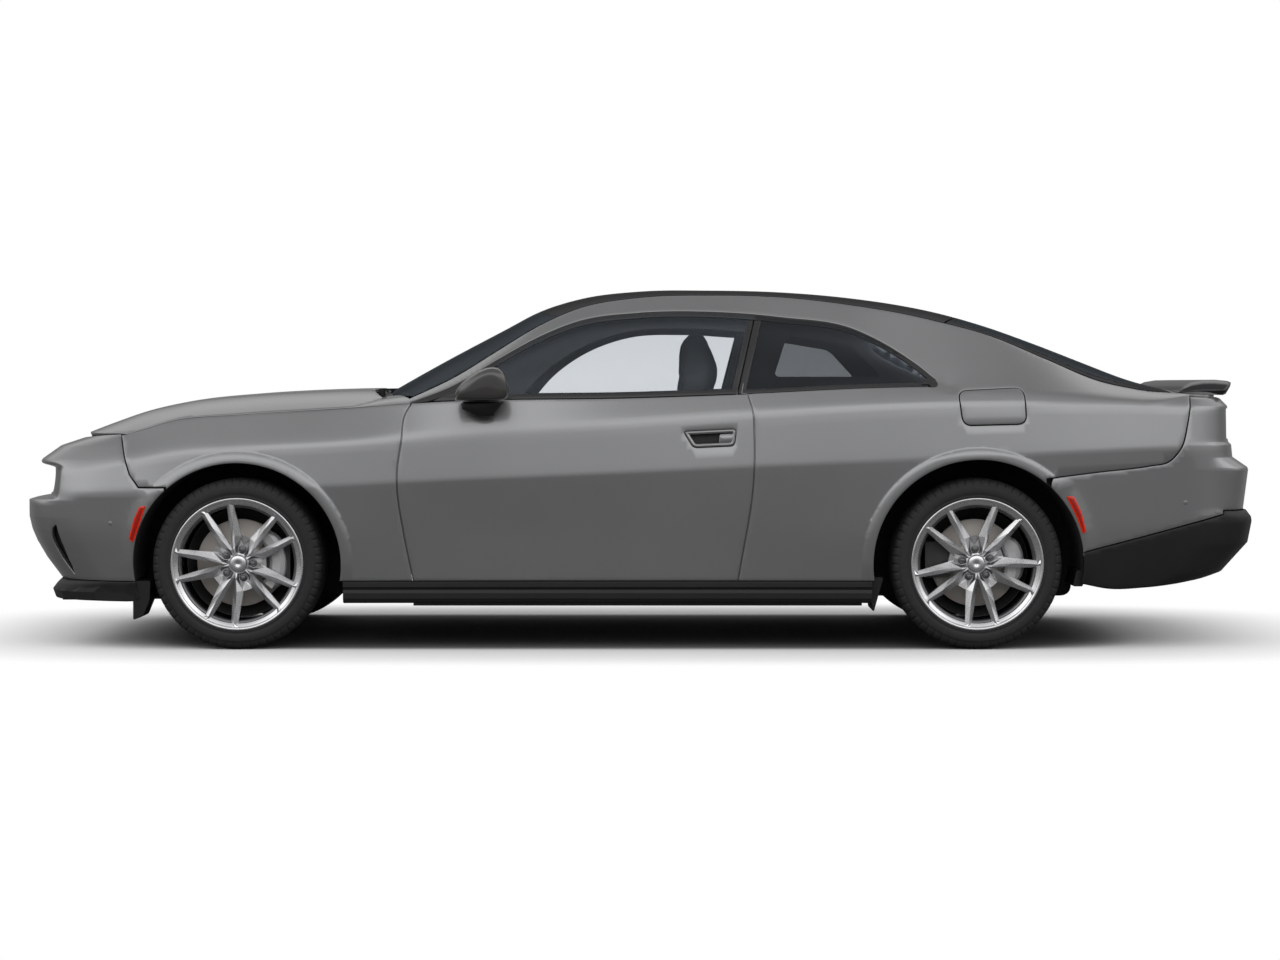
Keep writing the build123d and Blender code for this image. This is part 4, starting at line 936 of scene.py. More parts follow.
tinted_glass = glass("tinted_glass", (0.905, 0.915, 0.925), (0.60, 0.66, 0.74))
privacy_glass = glass("privacy_glass", (0.60, 0.61, 0.62), (0.60, 0.64, 0.70))
screen_glass = glass("screen_glass", (0.34, 0.36, 0.38), (0.30, 0.34, 0.38))


def pane_surface(x, z):
    """The side panes, a little inside the belt and bowed outwards."""
    wide, high = side_lines(x, 7)
    foot_w, foot_z = wide[4] - 0.020, high[4]
    head_w, head_z = wide[5] + 0.001, high[5]
    t = np.clip((z - foot_z) / np.maximum(head_z - foot_z, 0.02), -0.1, 1.05)
    bow = 0.010 * np.sin(np.pi * np.clip(t, 0, 1)) ** 2 * np.clip((head_z - foot_z) / 0.2, 0, 1)
    return np.stack((x, -(foot_w + (head_w - foot_w) * t + bow), z), axis=1)


def proud_pane(x, z):
    """Just outside the panes, where their mouldings lie."""
    return pane_surface(x, z) + (0, -0.006, 0)


def pane_grid(x_from, x_to, step=0.03):
    """Square points over the side windows."""
    grid = np.meshgrid(np.arange(x_from, x_to, step), np.arange(1.0, 1.42, step))
    return np.stack([a.ravel() for a in grid], axis=1)


def pillar_line(shift):
    """The slanted joint between door glass and quarter glass."""
    return np.array([(0.404 + shift, 1.066), (0.478 + shift, 1.372)])


door_pane_ring = ring(belt(-0.860, 0.404, -0.004), run(pillar_line(0.0)), window_top(0.470, -0.860, 0.008))
door_pane = plate("door_pane_left", pane_surface, door_pane_ring, pane_grid(-0.85, 0.48), 0.004,
                  tinted_glass, roll=0.001)
show(door_pane, "door_left", "tinted_glass", "door_glass_left")
show(mirrored(door_pane, "door_pane_right"), "door_right", "tinted_glass", "door_glass_right")
quarter_ring = ring(belt(0.420, 1.205, -0.004), window_rear, window_top(1.215, 0.486, 0.006),
                    run(pillar_line(0.012))[::-1])
quarter_pane = plate("quarter_pane_left", pane_surface, quarter_ring, pane_grid(0.42, 1.25), 0.004,
                     privacy_glass, roll=0.001)
show(quarter_pane, "body", "tinted_glass", "quarter_glass_left")
show(mirrored(quarter_pane, "quarter_pane_right"), "body", "tinted_glass", "quarter_glass_right")

screen_foot = run([(-1.085, 0.0), (-1.072, -0.40), (-1.020, -0.70), (-0.960, -0.815)])
screen_head = run([(-0.352, -0.648), (-0.400, -0.50), (-0.440, -0.25), (-0.449, 0.0)])
screen_ring = plan_ring(np.concatenate((screen_foot, side_edge(-0.950, -0.352, 0.002), screen_head[1:])))
screen = plate("screen_pane", arched_top, screen_ring, flat_grid(-1.09, -0.35, 0.84), 0.006, screen_glass,
               roll=0.001, away=(0, 0, 1))
show(screen, "body", "tinted_glass", "windscreen")
rear_pane = plate("rear_pane", arched_top, glass_ring, flat_grid(1.34, 2.22, 0.7), 0.006, screen_glass,
                  roll=0.001, away=(0, 0, 1))
show(rear_pane, "hatch", "tinted_glass", "rear_glass")

moulding_black = plain_finish("moulding_black", (0.010, 0.010, 0.011), (0.016, 0.016, 0.017), 0.28, 0.08,
                              0.2)


def pair(name, surface, outline, grid, depth, material, body, slot, nodes=(), **ways):
    """A left plate and its mirror image, each on its own body."""
    made = plate(name + "_left", surface, outline, grid, depth, material, **ways)
    copy = mirrored(made, name + "_right")
    bodies = (body + "_left", body + "_right") if body in ("door", "mirror") else (body, body)
    show(made, bodies[0], slot, *(f"{n}_left" for n in nodes))
    show(copy, bodies[1], slot, *(f"{n}_right" for n in nodes))
    return made, copy


top_moulding = ring(window_top(-0.985, 1.236, -0.001), window_rear[::-1], belt(1.205, 1.175, -0.012),
                    window_top(1.200, -0.870, 0.024), run([(-0.870, 1.034), (-0.985, 1.0175)]))
pair("upper_moulding", tall_side, top_moulding, no_points, 0.010, moulding_black, "body", "black_trim",
     roll=0.002)
pair("belt_moulding", proud_pane, ring(belt(-0.862, 0.402, -0.001), belt(0.402, -0.862, -0.022)), no_points,
     0.012, moulding_black, "door", "black_trim", roll=0.002)
pair("quarter_moulding", proud_pane, ring(belt(0.414, 1.205, -0.001), belt(1.205, 0.418, -0.018)),
     no_points, 0.012, moulding_black, "body", "black_trim", roll=0.002)
pair("door_pillar_strip", proud_pane, ring(run(pillar_line(-0.022)), run(pillar_line(0.0))[::-1]),
     no_points, 0.006, moulding_black, "door", "black_trim", roll=0.0015)
pair("quarter_pillar_strip", proud_pane, ring(run(pillar_line(0.006)), run(pillar_line(0.034))[::-1]),
     no_points, 0.006, moulding_black, "body", "black_trim", roll=0.0015)
sail = ring(belt(-0.862, -0.566, -0.012), run([(-0.566, 1.044), (-0.605, 1.168)]),
            window_top(-0.612, -0.862, 0.022))
pair("mirror_sail", proud_pane, sail, pane_grid(-0.86, -0.56, 0.04), 0.008, moulding_black, "door",
     "black_trim", roll=0.002)

# ------------------------------------------------------------------ wheels
# Low tyres with grooved shoulders on silver alloy wheels: five pairs of faceted spokes, each pair straddling
# a recessed wheel nut, run from the hub to claws on the lip. A plain cap closes the hub.
tyre_finish = Finish("tyre_rubber", Specular_IOR_Level=0.35)
dust = tyre_finish.noise(0.02)
tyre_rubber = tyre_finish.feed(
    Base_Color=tyre_finish.blend(dust, (0.016, 0.016, 0.017), (0.028, 0.028, 0.029)),
    Roughness=dust * 0.15 + 0.6,
    Normal=tyre_finish.bump(tyre_finish.noise(0.0015, 1.0), 0.0001),
)
alloy = Finish("bright_alloy", Metallic=1.0, Coat_Weight=0.3, Coat_Roughness=0.05)
grain = alloy.noise(0.004, 2.0)
bright_alloy = alloy.feed(
    Base_Color=alloy.blend(alloy.noise(0.08), (0.60, 0.60, 0.61), (0.74, 0.74, 0.75)),
    Roughness=grain * 0.08 + 0.24,
)
barrel_grey = plain_finish("barrel_grey", (0.13, 0.13, 0.135), (0.20, 0.20, 0.205), 0.32, 0.1, 0.05,
                           Metallic=0.8)
# The disc gets a far lighter base colour than bare steel and little metal shine: partly its own grey, partly a
# painted sheen that lifts it out of the shade inside the wheel.
disc_steel = Finish("disc_steel", Metallic=0.1)
swirl = disc_steel.noise(0.003, 2.0)
brake_steel_painted_bright = disc_steel.feed(
    Base_Color=disc_steel.blend(disc_steel.noise(0.05), (0.72, 0.67, 0.62), (0.86, 0.81, 0.76)),
    Roughness=swirl * 0.2 + 0.38,
)
cast_grey = plain_finish("caliper_grey", (0.46, 0.46, 0.465), (0.62, 0.62, 0.625), 0.42, 0.15, 0.03, 0.003,
                         0.0003, Metallic=0.4)
WHEEL_Y, AXLE_Z = 0.845, 0.356
AXLE_X = {"front": -1.672, "rear": 1.400}
SIDES = (("left", 1), ("right", -1))             # and the factor that mirrors a left-hand shape
SPOKE_PAIRS = 5
STEP_TURN = 360 / SPOKE_PAIRS                    # degrees from one pair to the next
NUT_CIRCLE = 0.062                               # radius of the circle that the wheel nuts stand on
LUG_TURN = {"front": 74.0, "rear": 95.0}          # direction of the first wheel nut, degrees from +X up


def turned(name, profile, material, around=96, soft=True, sink=None):
    """A ring turned about the wheel's axle from a closed (outward, radius) profile; outward is -Y.

    sink, if given, lowers each profile point at the angles of its own list of turns.
    """
    profile = np.asarray(profile, float)
    turn = np.linspace(0, 2 * np.pi, around, endpoint=False)
    radii = np.repeat(profile[None, :, 1], around, axis=0)
    if sink is not None:
        turn, radii = sink(profile)
    loops = np.stack((radii * np.cos(turn)[:, None], np.repeat(-profile[None, :, 0], len(turn), axis=0),
                      radii * np.sin(turn)[:, None]), axis=-1)
    index = np.arange(len(turn) * len(profile)).reshape(len(turn), len(profile))
    ahead, beside = np.roll(index, -1, axis=0), np.roll(index, -1, axis=1)
    faces = np.stack((index, beside, np.roll(ahead, -1, axis=1), ahead), axis=-1).reshape(-1, 4)
    return outward_faces(mesh_piece(name, loops.reshape(-1, 3), faces.tolist(), material, soft))


def outward_faces(piece):
    """Turns the faces of a closed piece outwards if its enclosed volume comes out negative."""
    mesh = piece.data
    points = np.empty(len(mesh.vertices) * 3)
    mesh.vertices.foreach_get("co", points)
    points = points.reshape(-1, 3)
    mesh.calc_loop_triangles()
    corners = np.empty(len(mesh.loop_triangles) * 3, int)
    mesh.loop_triangles.foreach_get("vertices", corners)
    a, b, c = (points[corners.reshape(-1, 3)[:, i]] for i in range(3))
    if np.sum(a * np.cross(b, c)) < 0:
        mesh.flip_normals()
    return piece


def joined(name, pieces):
    """Several meshes as one object, each keeping its first material and its shading."""
    points, faces, soft_flags, slots, materials, start = [], [], [], [], [], 0
    for piece in pieces:
        mesh = piece.data
        co = np.empty(len(mesh.vertices) * 3)
        mesh.vertices.foreach_get("co", co)
        points.append(co.reshape(-1, 3))
        if mesh.materials[0] not in materials:
            materials.append(mesh.materials[0])
        for polygon in mesh.polygons:
            faces.append([start + v for v in polygon.vertices])
            soft_flags.append(polygon.use_smooth)
            slots.append(materials.index(mesh.materials[0]))
        start += len(mesh.vertices)
        bpy.data.objects.remove(piece)
    whole = mesh_piece(name, np.concatenate(points), faces, materials[0])
    for extra in materials[1:]:
        whole.data.materials.append(extra)
    whole.data.polygons.foreach_set("use_smooth", soft_flags)
    whole.data.polygons.foreach_set("material_index", slots)
    return whole


def about_axle(points, degrees):
    """Points turned about the wheel's axle."""
    a = np.radians(degrees)
    x = points[..., 0] * np.cos(a) - points[..., 2] * np.sin(a)
    z = points[..., 0] * np.sin(a) + points[..., 2] * np.cos(a)
    return np.stack((x, points[..., 1], z), axis=-1)


def placed(piece, name, turn, x, side_sign):
    """A copy turned about the axle and set at one wheel; the right-hand one is the mirror image."""
    mesh = piece.data
    co = np.empty(len(mesh.vertices) * 3)
    mesh.vertices.foreach_get("co", co)
    co = about_axle(co.reshape(-1, 3), turn)
    points = np.stack((co[:, 0] + x, (co[:, 1] - WHEEL_Y) * side_sign, co[:, 2] + AXLE_Z), axis=1)
    copy = bpy.data.objects.new(name, mesh.copy())
    copy.data.vertices.foreach_set("co", points.astype(np.float32).ravel())
    if side_sign < 0:
        copy.data.flip_normals()
    copy.data.update()
    bpy.context.scene.collection.objects.link(copy)
    return copy


TREAD_BLOCKS = 62
SIDEWALL = [
    (-0.118, 0.262), (-0.1322, 0.268), (-0.1375, 0.278), (-0.1385, 0.284), (-0.1360, 0.2865),
    (-0.1390, 0.290), (-0.1397, 0.305), (-0.1395, 0.316), (-0.1375, 0.3235), (-0.1352, 0.3250),
    (-0.1345, 0.3300), (-0.1290, 0.3410), (-0.1200, 0.3485), (-0.1080, 0.3525), (-0.0900, 0.3548),
    (-0.0890, 0.3480), (-0.0810, 0.3480), (-0.0800, 0.3555), (-0.0350, 0.3560), (-0.0340, 0.3480),
    (-0.0260, 0.3480), (-0.0250, 0.3560),
]
tyre_profile = SIDEWALL + [(-o, r) for o, r in SIDEWALL[::-1]]


def shoulder_grooves(profile):
    """Turns and radii for a tyre whose shoulders are cut by narrow grooves between tread blocks."""
    offsets = np.array([0.0, 0.004, 0.012, 0.016, 0.35, 0.68]) + np.array([0, 0.02, 0.05, 0.07, 0, 0])
    turn = (np.arange(TREAD_BLOCKS)[:, None] + offsets).ravel() * 2 * np.pi / TREAD_BLOCKS
    cut = np.tile([0, 1, 1, 0, 0, 0], TREAD_BLOCKS)
    shoulder = (profile[:, 1] > 0.328) & (np.abs(profile[:, 0]) > 0.0895)
    return turn, profile[:, 1] - 0.0032 * cut[:, None] * shoulder


tyre_whole = turned("tyre_whole", tyre_profile, tyre_rubber, sink=shoulder_grooves)
lip_form = turned("lip_form", [
    (0.1345, 0.2755), (0.1392, 0.2757), (0.1408, 0.2715), (0.1397, 0.2660), (0.1320, 0.2622),
    (0.1300, 0.2600), (0.1265, 0.2480), (0.1190, 0.2440), (0.1190, 0.2560),
    (0.128, 0.2665)], bright_alloy, 128)
barrel_form = turned("barrel_form", [
    (-0.138, 0.262), (-0.136, 0.269), (-0.120, 0.256), (0.118, 0.256), (0.118, 0.2435), (0.110, 0.2350),
    (0.085, 0.2345), (0.080, 0.2405), (-0.124, 0.2405)], barrel_grey, 128)
# One leg of a pair, for a nut on +X: its outer edge, its ridge and its inner edge as (x, z, outward), then
# the depth of its back, at six stations from the hub to the claw on the lip.
LEG = np.array([
    (32, 24, 93, 37, 17, 99, 38, 11, 91, 60), (52, 37, 95, 58, 30, 107, 61, 20, 92, 62),
    (103, 60, 98, 108, 44, 116, 114, 18, 94, 68), (163, 86, 109, 168, 68, 125, 173, 50, 107, 84),
    (226, 110, 122, 229, 98, 133, 235, 84, 121, 100),
    (238, 114, 131, 243, 99, 137, 249, 84, 131, 112),
]) / 1000
WEB = np.array([(30, -20), (62, -22), (104, -20), (116, -17), (116, 17), (104, 20), (62, 22),
                (30, 20)]) / 1000
# Each nut's seat and the nut itself, as (outward, radius).
NUT_FORMS = (
    [(0.070, 0.0003), (0.070, 0.0165), (0.0855, 0.0165), (0.0868, 0.0150), (0.0868, 0.0003)],
    [(0.080, 0.0003), (0.080, 0.0120), (0.0965, 0.0118), (0.1030, 0.0095), (0.1060, 0.0050),
     (0.1065, 0.0003)],
)
wheel_parts = [lip_form, barrel_form]
for number in range(SPOKE_PAIRS):
    turn = STEP_TURN * number
    for flip in (1, -1):
        outer = np.stack((LEG[:, 0], -LEG[:, 2], LEG[:, 1] * flip), axis=1)
        ridge = np.stack((LEG[:, 3], -LEG[:, 5], LEG[:, 4] * flip), axis=1)
        inner = np.stack((LEG[:, 6], -LEG[:, 8], LEG[:, 7] * flip), axis=1)
        back = np.stack((np.zeros(len(LEG)), LEG[:, 9], np.zeros(len(LEG))), axis=1)
        feet = [edge * (1, 0, 1) - back for edge in (inner, outer)]
        loops = np.stack((outer, ridge, inner, feet[0], feet[1]), axis=1)
        wheel_parts.append(outward_faces(swept("leg", about_axle(loops, turn), bright_alloy, soft=False)))
    under = np.stack((WEB[:, 0], np.full(len(WEB), -0.064), WEB[:, 1]), axis=1)
    front = np.stack((WEB[:, 0], np.where(WEB[:, 0] > 0.11, -0.088, -0.083), WEB[:, 1]), axis=1)
    web = swept("web", about_axle(np.stack((under, front)), turn), bright_alloy, soft=False)
    wheel_parts.append(outward_faces(web))
    for profile in NUT_FORMS:
        nut = turned("nut", profile, barrel_grey, 24)
        a = np.radians(turn)
        nut.data.transform(Matrix.Translation((NUT_CIRCLE * np.cos(a), 0, NUT_CIRCLE * np.sin(a))))
        wheel_parts.append(nut)
wheel_parts.append(turned("hub", [(0.056, 0.0004), (0.056, 0.060), (0.082, 0.050), (0.0900, 0.046),
                                  (0.0935, 0.040), (0.0935, 0.036), (0.0890, 0.0350),
                                  (0.0890, 0.0004)], bright_alloy, 96))
wheel_parts.append(turned("cap", [(0.086, 0.0004), (0.086, 0.0345), (0.1000, 0.0345), (0.1022, 0.0325),
                                  (0.1042, 0.020), (0.1045, 0.0004)], bright_alloy, 64))
wheel_whole = joined("wheel_whole", wheel_parts)
disc_form = turned("disc_form", [
    (-0.016, 0.084), (-0.016, 0.182), (-0.004, 0.183), (-0.004, 0.176), (0.004, 0.176), (0.004, 0.183),
    (0.016, 0.182), (0.016, 0.104), (0.050, 0.094), (0.060, 0.080), (0.060, 0.040),
    (0.040, 0.038)], brake_steel_painted_bright, 96)

for end, axle_x in AXLE_X.items():
    for side_name, side_sign in SIDES:
        body = f"wheel_{end}_{side_name}"
        tag = f"{end}_{side_name}"
        show(placed(tyre_whole, "tyre_skin_" + tag, 0, axle_x, side_sign), body, "tyre", "tyre_" + tag)
        show(placed(wheel_whole, "alloy_wheel_" + tag, LUG_TURN[end], axle_x, side_sign), body, "wheel",
             "rim_" + tag)
        show(placed(disc_form, "disc_skin_" + tag, 0, axle_x, side_sign), body, "disc", "brake_disc_" + tag)
for used in (tyre_whole, wheel_whole, disc_form):
    bpy.data.objects.remove(used)

# ------------------------------------------------------------------ knuckles, callipers and running gear
# The knuckles and the arms are dark forged and cast metal that shows through the spokes and from below; the
# frame's own solids stay, in a cast finish. Callipers get a cast body clamped over each disc.
forged = plain_finish("forged_steel", (0.045, 0.045, 0.047), (0.075, 0.074, 0.072), 0.55, 0.2, 0.06, 0.004,
                      0.0003, Metallic=0.6)
drive_cast = plain_finish("cast_aluminium", (0.28, 0.28, 0.285), (0.38, 0.38, 0.385), 0.5, 0.15, 0.08,
                          0.003, 0.0003, Metallic=0.7)
tray_grey = plain_finish("battery_tray", (0.05, 0.052, 0.055), (0.08, 0.082, 0.085), 0.5, 0.15, 0.15,
                         Metallic=0.3)
felt_black = plain_finish("liner_felt", (0.008, 0.008, 0.008), (0.018, 0.018, 0.018), 0.95, 0.05, 0.02,
                          0.002, 0.0006)
floor_black = plain_finish("floor_coat", (0.012, 0.012, 0.013), (0.024, 0.024, 0.025), 0.85, 0.1, 0.1,
                           0.004, 0.0004)


def dress(material, *nodes):
    """Gives frame nodes a finish."""
    for node in nodes:
        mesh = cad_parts[node].data
        mesh.materials.clear()
        mesh.materials.append(material)


dress(forged, "knuckle_front_left", "knuckle_front_right", "front_subframe", "rear_suspension")
dress(drive_cast, "drive_units")
dress(tray_grey, "battery_pack")
dress(felt_black, "wheel_liners")
dress(floor_black, "floor_pan")


def calliper(name, axle_x, first, last, side_sign):
    """A calliper's outer half: a block bent round the disc between two angles, thinner at its ends."""
    turn = np.radians(np.linspace(first, last, 25))
    swell = 1 - 0.12 * np.abs(np.linspace(-1, 1, 25)) ** 4
    loops = []
    for a, k in zip(turn, swell):
        section = [(0.020, 0.128), (0.020, 0.196 * k), (0.034, 0.203 * k), (0.050, 0.203 * k),
                   (0.062, 0.192 * k), (0.068, 0.172), (0.066, 0.140), (0.056, 0.126)]
        loops.append([(axle_x + r * np.cos(a), -side_sign * (WHEEL_Y + o), AXLE_Z + r * np.sin(a))
                      for o, r in section])
    return outward_faces(swept(name, loops, cast_grey, soft=False))


for end, axle_x in AXLE_X.items():
    shield = turned("shield", [(-0.030, 0.072), (-0.030, 0.229), (-0.012, 0.229), (-0.014, 0.224),
                               (-0.026, 0.223), (-0.026, 0.072)], forged, 72)
    for side_name, side_sign in SIDES:
        body = f"knuckle_front_{side_name}" if end == "front" else "body"
        show(placed(shield, f"dust_shield_{end}_{side_name}", 0, axle_x, side_sign), body, "chassis")
    bpy.data.objects.remove(shield)
for side_name, side_sign in SIDES:
    show(calliper(f"calliper_front_{side_name}", AXLE_X["front"], -38, 50, side_sign),
         f"knuckle_front_{side_name}", "chassis")
    show(calliper(f"calliper_rear_{side_name}", AXLE_X["rear"], -30, 38, side_sign), "body", "chassis")

# ------------------------------------------------------------------ jambs, arch returns and splash flaps
# Folded sheet walls behind the outer skins: a painted jamb round each door opening and each door's own edge,
# black returns inside the wheel arches, felt walls beside the liners, and flaps below the arches' ends.
SHEET = 0.003                                    # thickness of the folded sheet


def returned(name, line, reach, spread, material, outer=0.010, closed=False):
    """A wall inwards from the side's surface along a line of (x, z), with a flange spread to its left."""
    line = np.asarray(line, float)
    ahead = np.gradient(line, axis=0)
    if closed:
        ahead = np.roll(line, -1, axis=0) - np.roll(line, 1, axis=0)
    ahead /= np.maximum(np.linalg.norm(ahead, axis=1)[:, None], 1e-9)
    left = np.stack((-ahead[:, 1], ahead[:, 0]), axis=1) * np.sign(spread)
    front = tall_side(line[:, 0], line[:, 1])[:, 1] + outer
    deep = np.broadcast_to(np.asarray(reach, float), front.shape)
    far = np.where(deep < 0, deep, front + deep)
    loops = []
    for at, side_way, y_out, y_in in zip(line, left, front, far):
        section = ((0, y_out), (0, y_in), (abs(spread), y_in), (abs(spread), y_in - SHEET),
                   (SHEET, y_in - SHEET), (SHEET, y_out))
        loops.append([(at[0] + side_way[0] * n, y, at[1] + side_way[1] * n) for n, y in section])
    if closed:
        loops.append(loops[0])
    return outward_faces(swept(name, loops, material, closed_ends=not closed, soft=False))


opening = ring(run([(door_rear_x, sill_z), (-0.943, sill_z)], 0.03), run(DOOR_FRONT - hinge_gap),
               window_top(-0.960, 0.486, 0.004),
               run([(0.486, 1.360), (0.425, 1.066)], 0.02), run(DOOR_REAR + hinge_gap)[::-1])
for name, line, reach, spread, bodies in (
        ("door_jamb", opening, 0.085, -0.030, ("body", "body")),
        ("door_edge", drawn_in(door_outline[::-1], 0.002), 0.052, 0.020, ("door_left", "door_right"))):
    wall = returned(name + "_left", line, reach, spread, body_paint, closed=True)
    show(wall, bodies[0], "body_paint")
    show(mirrored(wall, name + "_right"), bodies[1], "body_paint")
for name, arch, first, last, reach in (("front_arch", FRONT_ARCH, 189, -9, -0.70),
                                       ("rear_arch", REAR_ARCH, 189, -11, -0.66)):
    wall = returned(name + "_return_left", arc(arch, first, last, 0.0015), reach, 0.012, felt_black,
                    outer=0.004)
    show(wall, "body", "liner")
    show(mirrored(wall, name + "_return_right"), "body", "liner")
FLAPS = {
    "front": [(-2.108, 0.285), (-2.108, 0.122), (-2.068, 0.137), (-2.040, 0.205), (-2.036, 0.285)],
    "rear": [(0.945, 0.300), (0.968, 0.160), (0.973, 0.158), (1.012, 0.300)],
    "tail": [(1.842, 0.330), (1.842, 0.262), (1.800, 0.262), (1.816, 0.330)],
}
for name, corners in FLAPS.items():
    loop = rounded(corners, 0.008)
    sheet = [[(px, -y, pz) for px, pz in loop] for y in (0.80 if name == "front" else 0.70, 0.955)]
    flap_piece = outward_faces(swept(f"{name}_flap_left", sheet, trim_black, soft=False))
    show(flap_piece, "body", "black_trim")
    show(mirrored(flap_piece, f"{name}_flap_right"), "body", "black_trim")
for name, middle, half_length, y, top in (("front", AXLE_X["front"], 0.52, 0.475, 0.66),
                                          ("rear", AXLE_X["rear"], 0.44, 0.615, 0.66)):
    corners = rounded([(middle - half_length, 0.20), (middle + half_length, 0.20),
                       (middle + half_length, top), (middle - half_length, top)], 0.05)
    sheet = [[(px, -w, pz) for px, pz in corners] for w in (y, y - 0.004)]
    inner_wall = outward_faces(swept(f"{name}_wheelhouse_wall_left", sheet, felt_black, soft=False))
    show(inner_wall, "body", "liner")
    show(mirrored(inner_wall, f"{name}_wheelhouse_wall_right"), "body", "liner")

# ------------------------------------------------------------------ cabin
# A dark cabin behind tinted glass: the frame's dashboard, console and steering wheel in grained plastic,
# padded hide bucket seats and bench, door cards, and moulded trims clipped inside the pillars.
cabin_black = plain_finish("cabin_plastic", (0.018, 0.018, 0.019), (0.032, 0.032, 0.034), 0.6, 0.1, 0.1,
                           0.0012, 0.0002)
hide_black = plain_finish("seat_hide", (0.016, 0.017, 0.018), (0.030, 0.031, 0.033), 0.55, 0.15, 0.02,
                          0.0016, 0.0003)
dress(cabin_black, "dashboard", "console", "steering_wheel")


def pillow(name, centre_line, half_widths, thickness, y_middle, material):
    """A padded form along a side-view line: rounded across, crowned, thicker at its bolsters."""
    centre_line = np.asarray(centre_line, float)
    ahead = np.gradient(centre_line, axis=0)
    ahead /= np.linalg.norm(ahead, axis=1)[:, None]
    normal = np.stack((-ahead[:, 1], ahead[:, 0]), axis=1)
    turn = np.linspace(0, 2 * np.pi, 28, endpoint=False)
    loops = []
    for point, across, thick, out in zip(centre_line, half_widths, thickness, normal):
        c, s = np.cos(turn), np.sin(turn)
        y = across * np.sign(c) * np.abs(c) ** 0.55
        bolster = 1 + 0.45 * np.clip((np.abs(y) / across - 0.62) / 0.3, 0, 1)
        n = thick * np.sign(s) * np.abs(s) ** 0.7 * np.where(s > 0, bolster, 1.0)
        loops.append(np.stack((point[0] + out[0] * n, y_middle + y, point[1] + out[1] * n), axis=1))
    return outward_faces(swept(name, loops, material))


def along(points, count):
    """A number of points along a smooth line, evenly apart."""
    line = run(np.array(points), 0.001)
    return line[np.linspace(0, len(line) - 1, count).astype(int)]


HEAD_REST = np.array([
    (1040, 245, 60, 165), (1074, 246, 72, 176), (1100, 249, 71, 176), (1130, 257, 74, 170),
    (1160, 258, 77, 155), (1200, 252, 71, 135), (1257, 242, 58, 116), (1299, 239, 42, 98),
    (1315, 237, 27, 76), (1321, 237, 14, 50),
]) / 1000                                         # height; centre, half-thickness and half-width there
for side_name, y_seat in (("left", -0.39), ("right", 0.39)):
    base_line = along([(-0.330, 0.520), (-0.15, 0.505), (0.03, 0.488), (0.190, 0.500)], 16)
    ease = np.sin(np.linspace(0.18, np.pi - 0.18, 16)) ** 0.35
    seat_base = pillow(f"seat_base_{side_name}", base_line, 0.235 * ease, 0.060 * ease, y_seat, hide_black)
    back_line = along([(0.170, 0.520), (0.185, 0.66), (0.215, 0.84), (0.243, 0.98), (0.254, 1.085)], 20)
    ease = np.sin(np.linspace(0.22, np.pi - 0.25, 20)) ** 0.35
    seat_back = pillow(f"seat_back_{side_name}", back_line, np.linspace(0.235, 0.165, 20) * ease,
                       0.070 * ease, y_seat, hide_black)
    head_z = np.concatenate((np.linspace(1.040, 1.300, 16), [1.310, 1.317, 1.321]))
    head_x, head_thick, head_half = (smooth(HEAD_REST[:, 0], HEAD_REST[:, c], head_z) for c in (1, 2, 3))
    head = pillow(f"head_rest_{side_name}", np.stack((head_x, head_z), axis=1), head_half, head_thick,
                  y_seat, hide_black)
    shell_line = along([(0.235, 0.45), (0.250, 0.66), (0.285, 0.86), (0.315, 1.06)], 14)
    shell = pillow(f"seat_shell_{side_name}", shell_line, np.full(14, 0.20), np.full(14, 0.018), y_seat,
                   cabin_black)
    plinth_line = along([(-0.27, 0.40), (0.22, 0.385)], 8)
    plinth = pillow(f"seat_plinth_{side_name}", plinth_line, np.full(8, 0.20), np.full(8, 0.050), y_seat,
                    cabin_black)
    for piece in (seat_base, seat_back, head):
        show(piece, "body", "seat")
    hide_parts("front_seats")
    for piece in (shell, plinth):
        show(piece, "body", "interior")

bench_line = along([(0.665, 0.612), (0.80, 0.672), (0.96, 0.678), (1.070, 0.690)], 16)
ease = np.sin(np.linspace(0.2, np.pi - 0.2, 16)) ** 0.3
bench_base = pillow("bench_base", bench_line, 0.545 * ease, 0.038 * ease, 0.0, hide_black)
bench_back_line = along([(1.085, 0.70), (1.130, 0.80), (1.185, 0.92), (1.225, 1.010)], 16)
bench_back = pillow("bench_back", bench_back_line, 0.545 * ease, 0.040 * ease, 0.0, hide_black)
for piece in (bench_base, bench_back):
    show(piece, "body", "seat")
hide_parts("rear_bench")


def inner_trim(x, z):
    """The trims inside the pillars, parallel to the outer side."""
    return tall_side(x, z) + (0, 0.048, 0)


trim_head = [(0.442, 1.325), (0.20, 1.338), (-0.05, 1.325), (-0.25, 1.255), (-0.414, 1.141), (-0.50, 1.045)]
trim_outline = ring(
    window_top(-0.900, 1.215, -0.024), run([(1.235, 1.115), (1.225, 1.075)]), belt(1.22, 0.405, 0.020),
    run([(0.405, 1.050), (0.442, 1.325)]), run(trim_head),
    run([(-0.50, 1.045), (-0.56, 1.052), (-0.860, 1.052)]))
quarter_light = rounded([(0.560, 1.135), (1.015, 1.135), (0.885, 1.268), (0.622, 1.310)], 0.03)
pair("side_trim", inner_trim, trim_outline, body_grid(-0.90, 1.2, 7), 0.010, cabin_black, "body",
     "interior", holes=[quarter_light], roll=0.002)


def thickened(piece, wall):
    """Gives a sheet its thickness."""
    piece.modifiers.new("thickness", "SOLIDIFY").thickness = wall


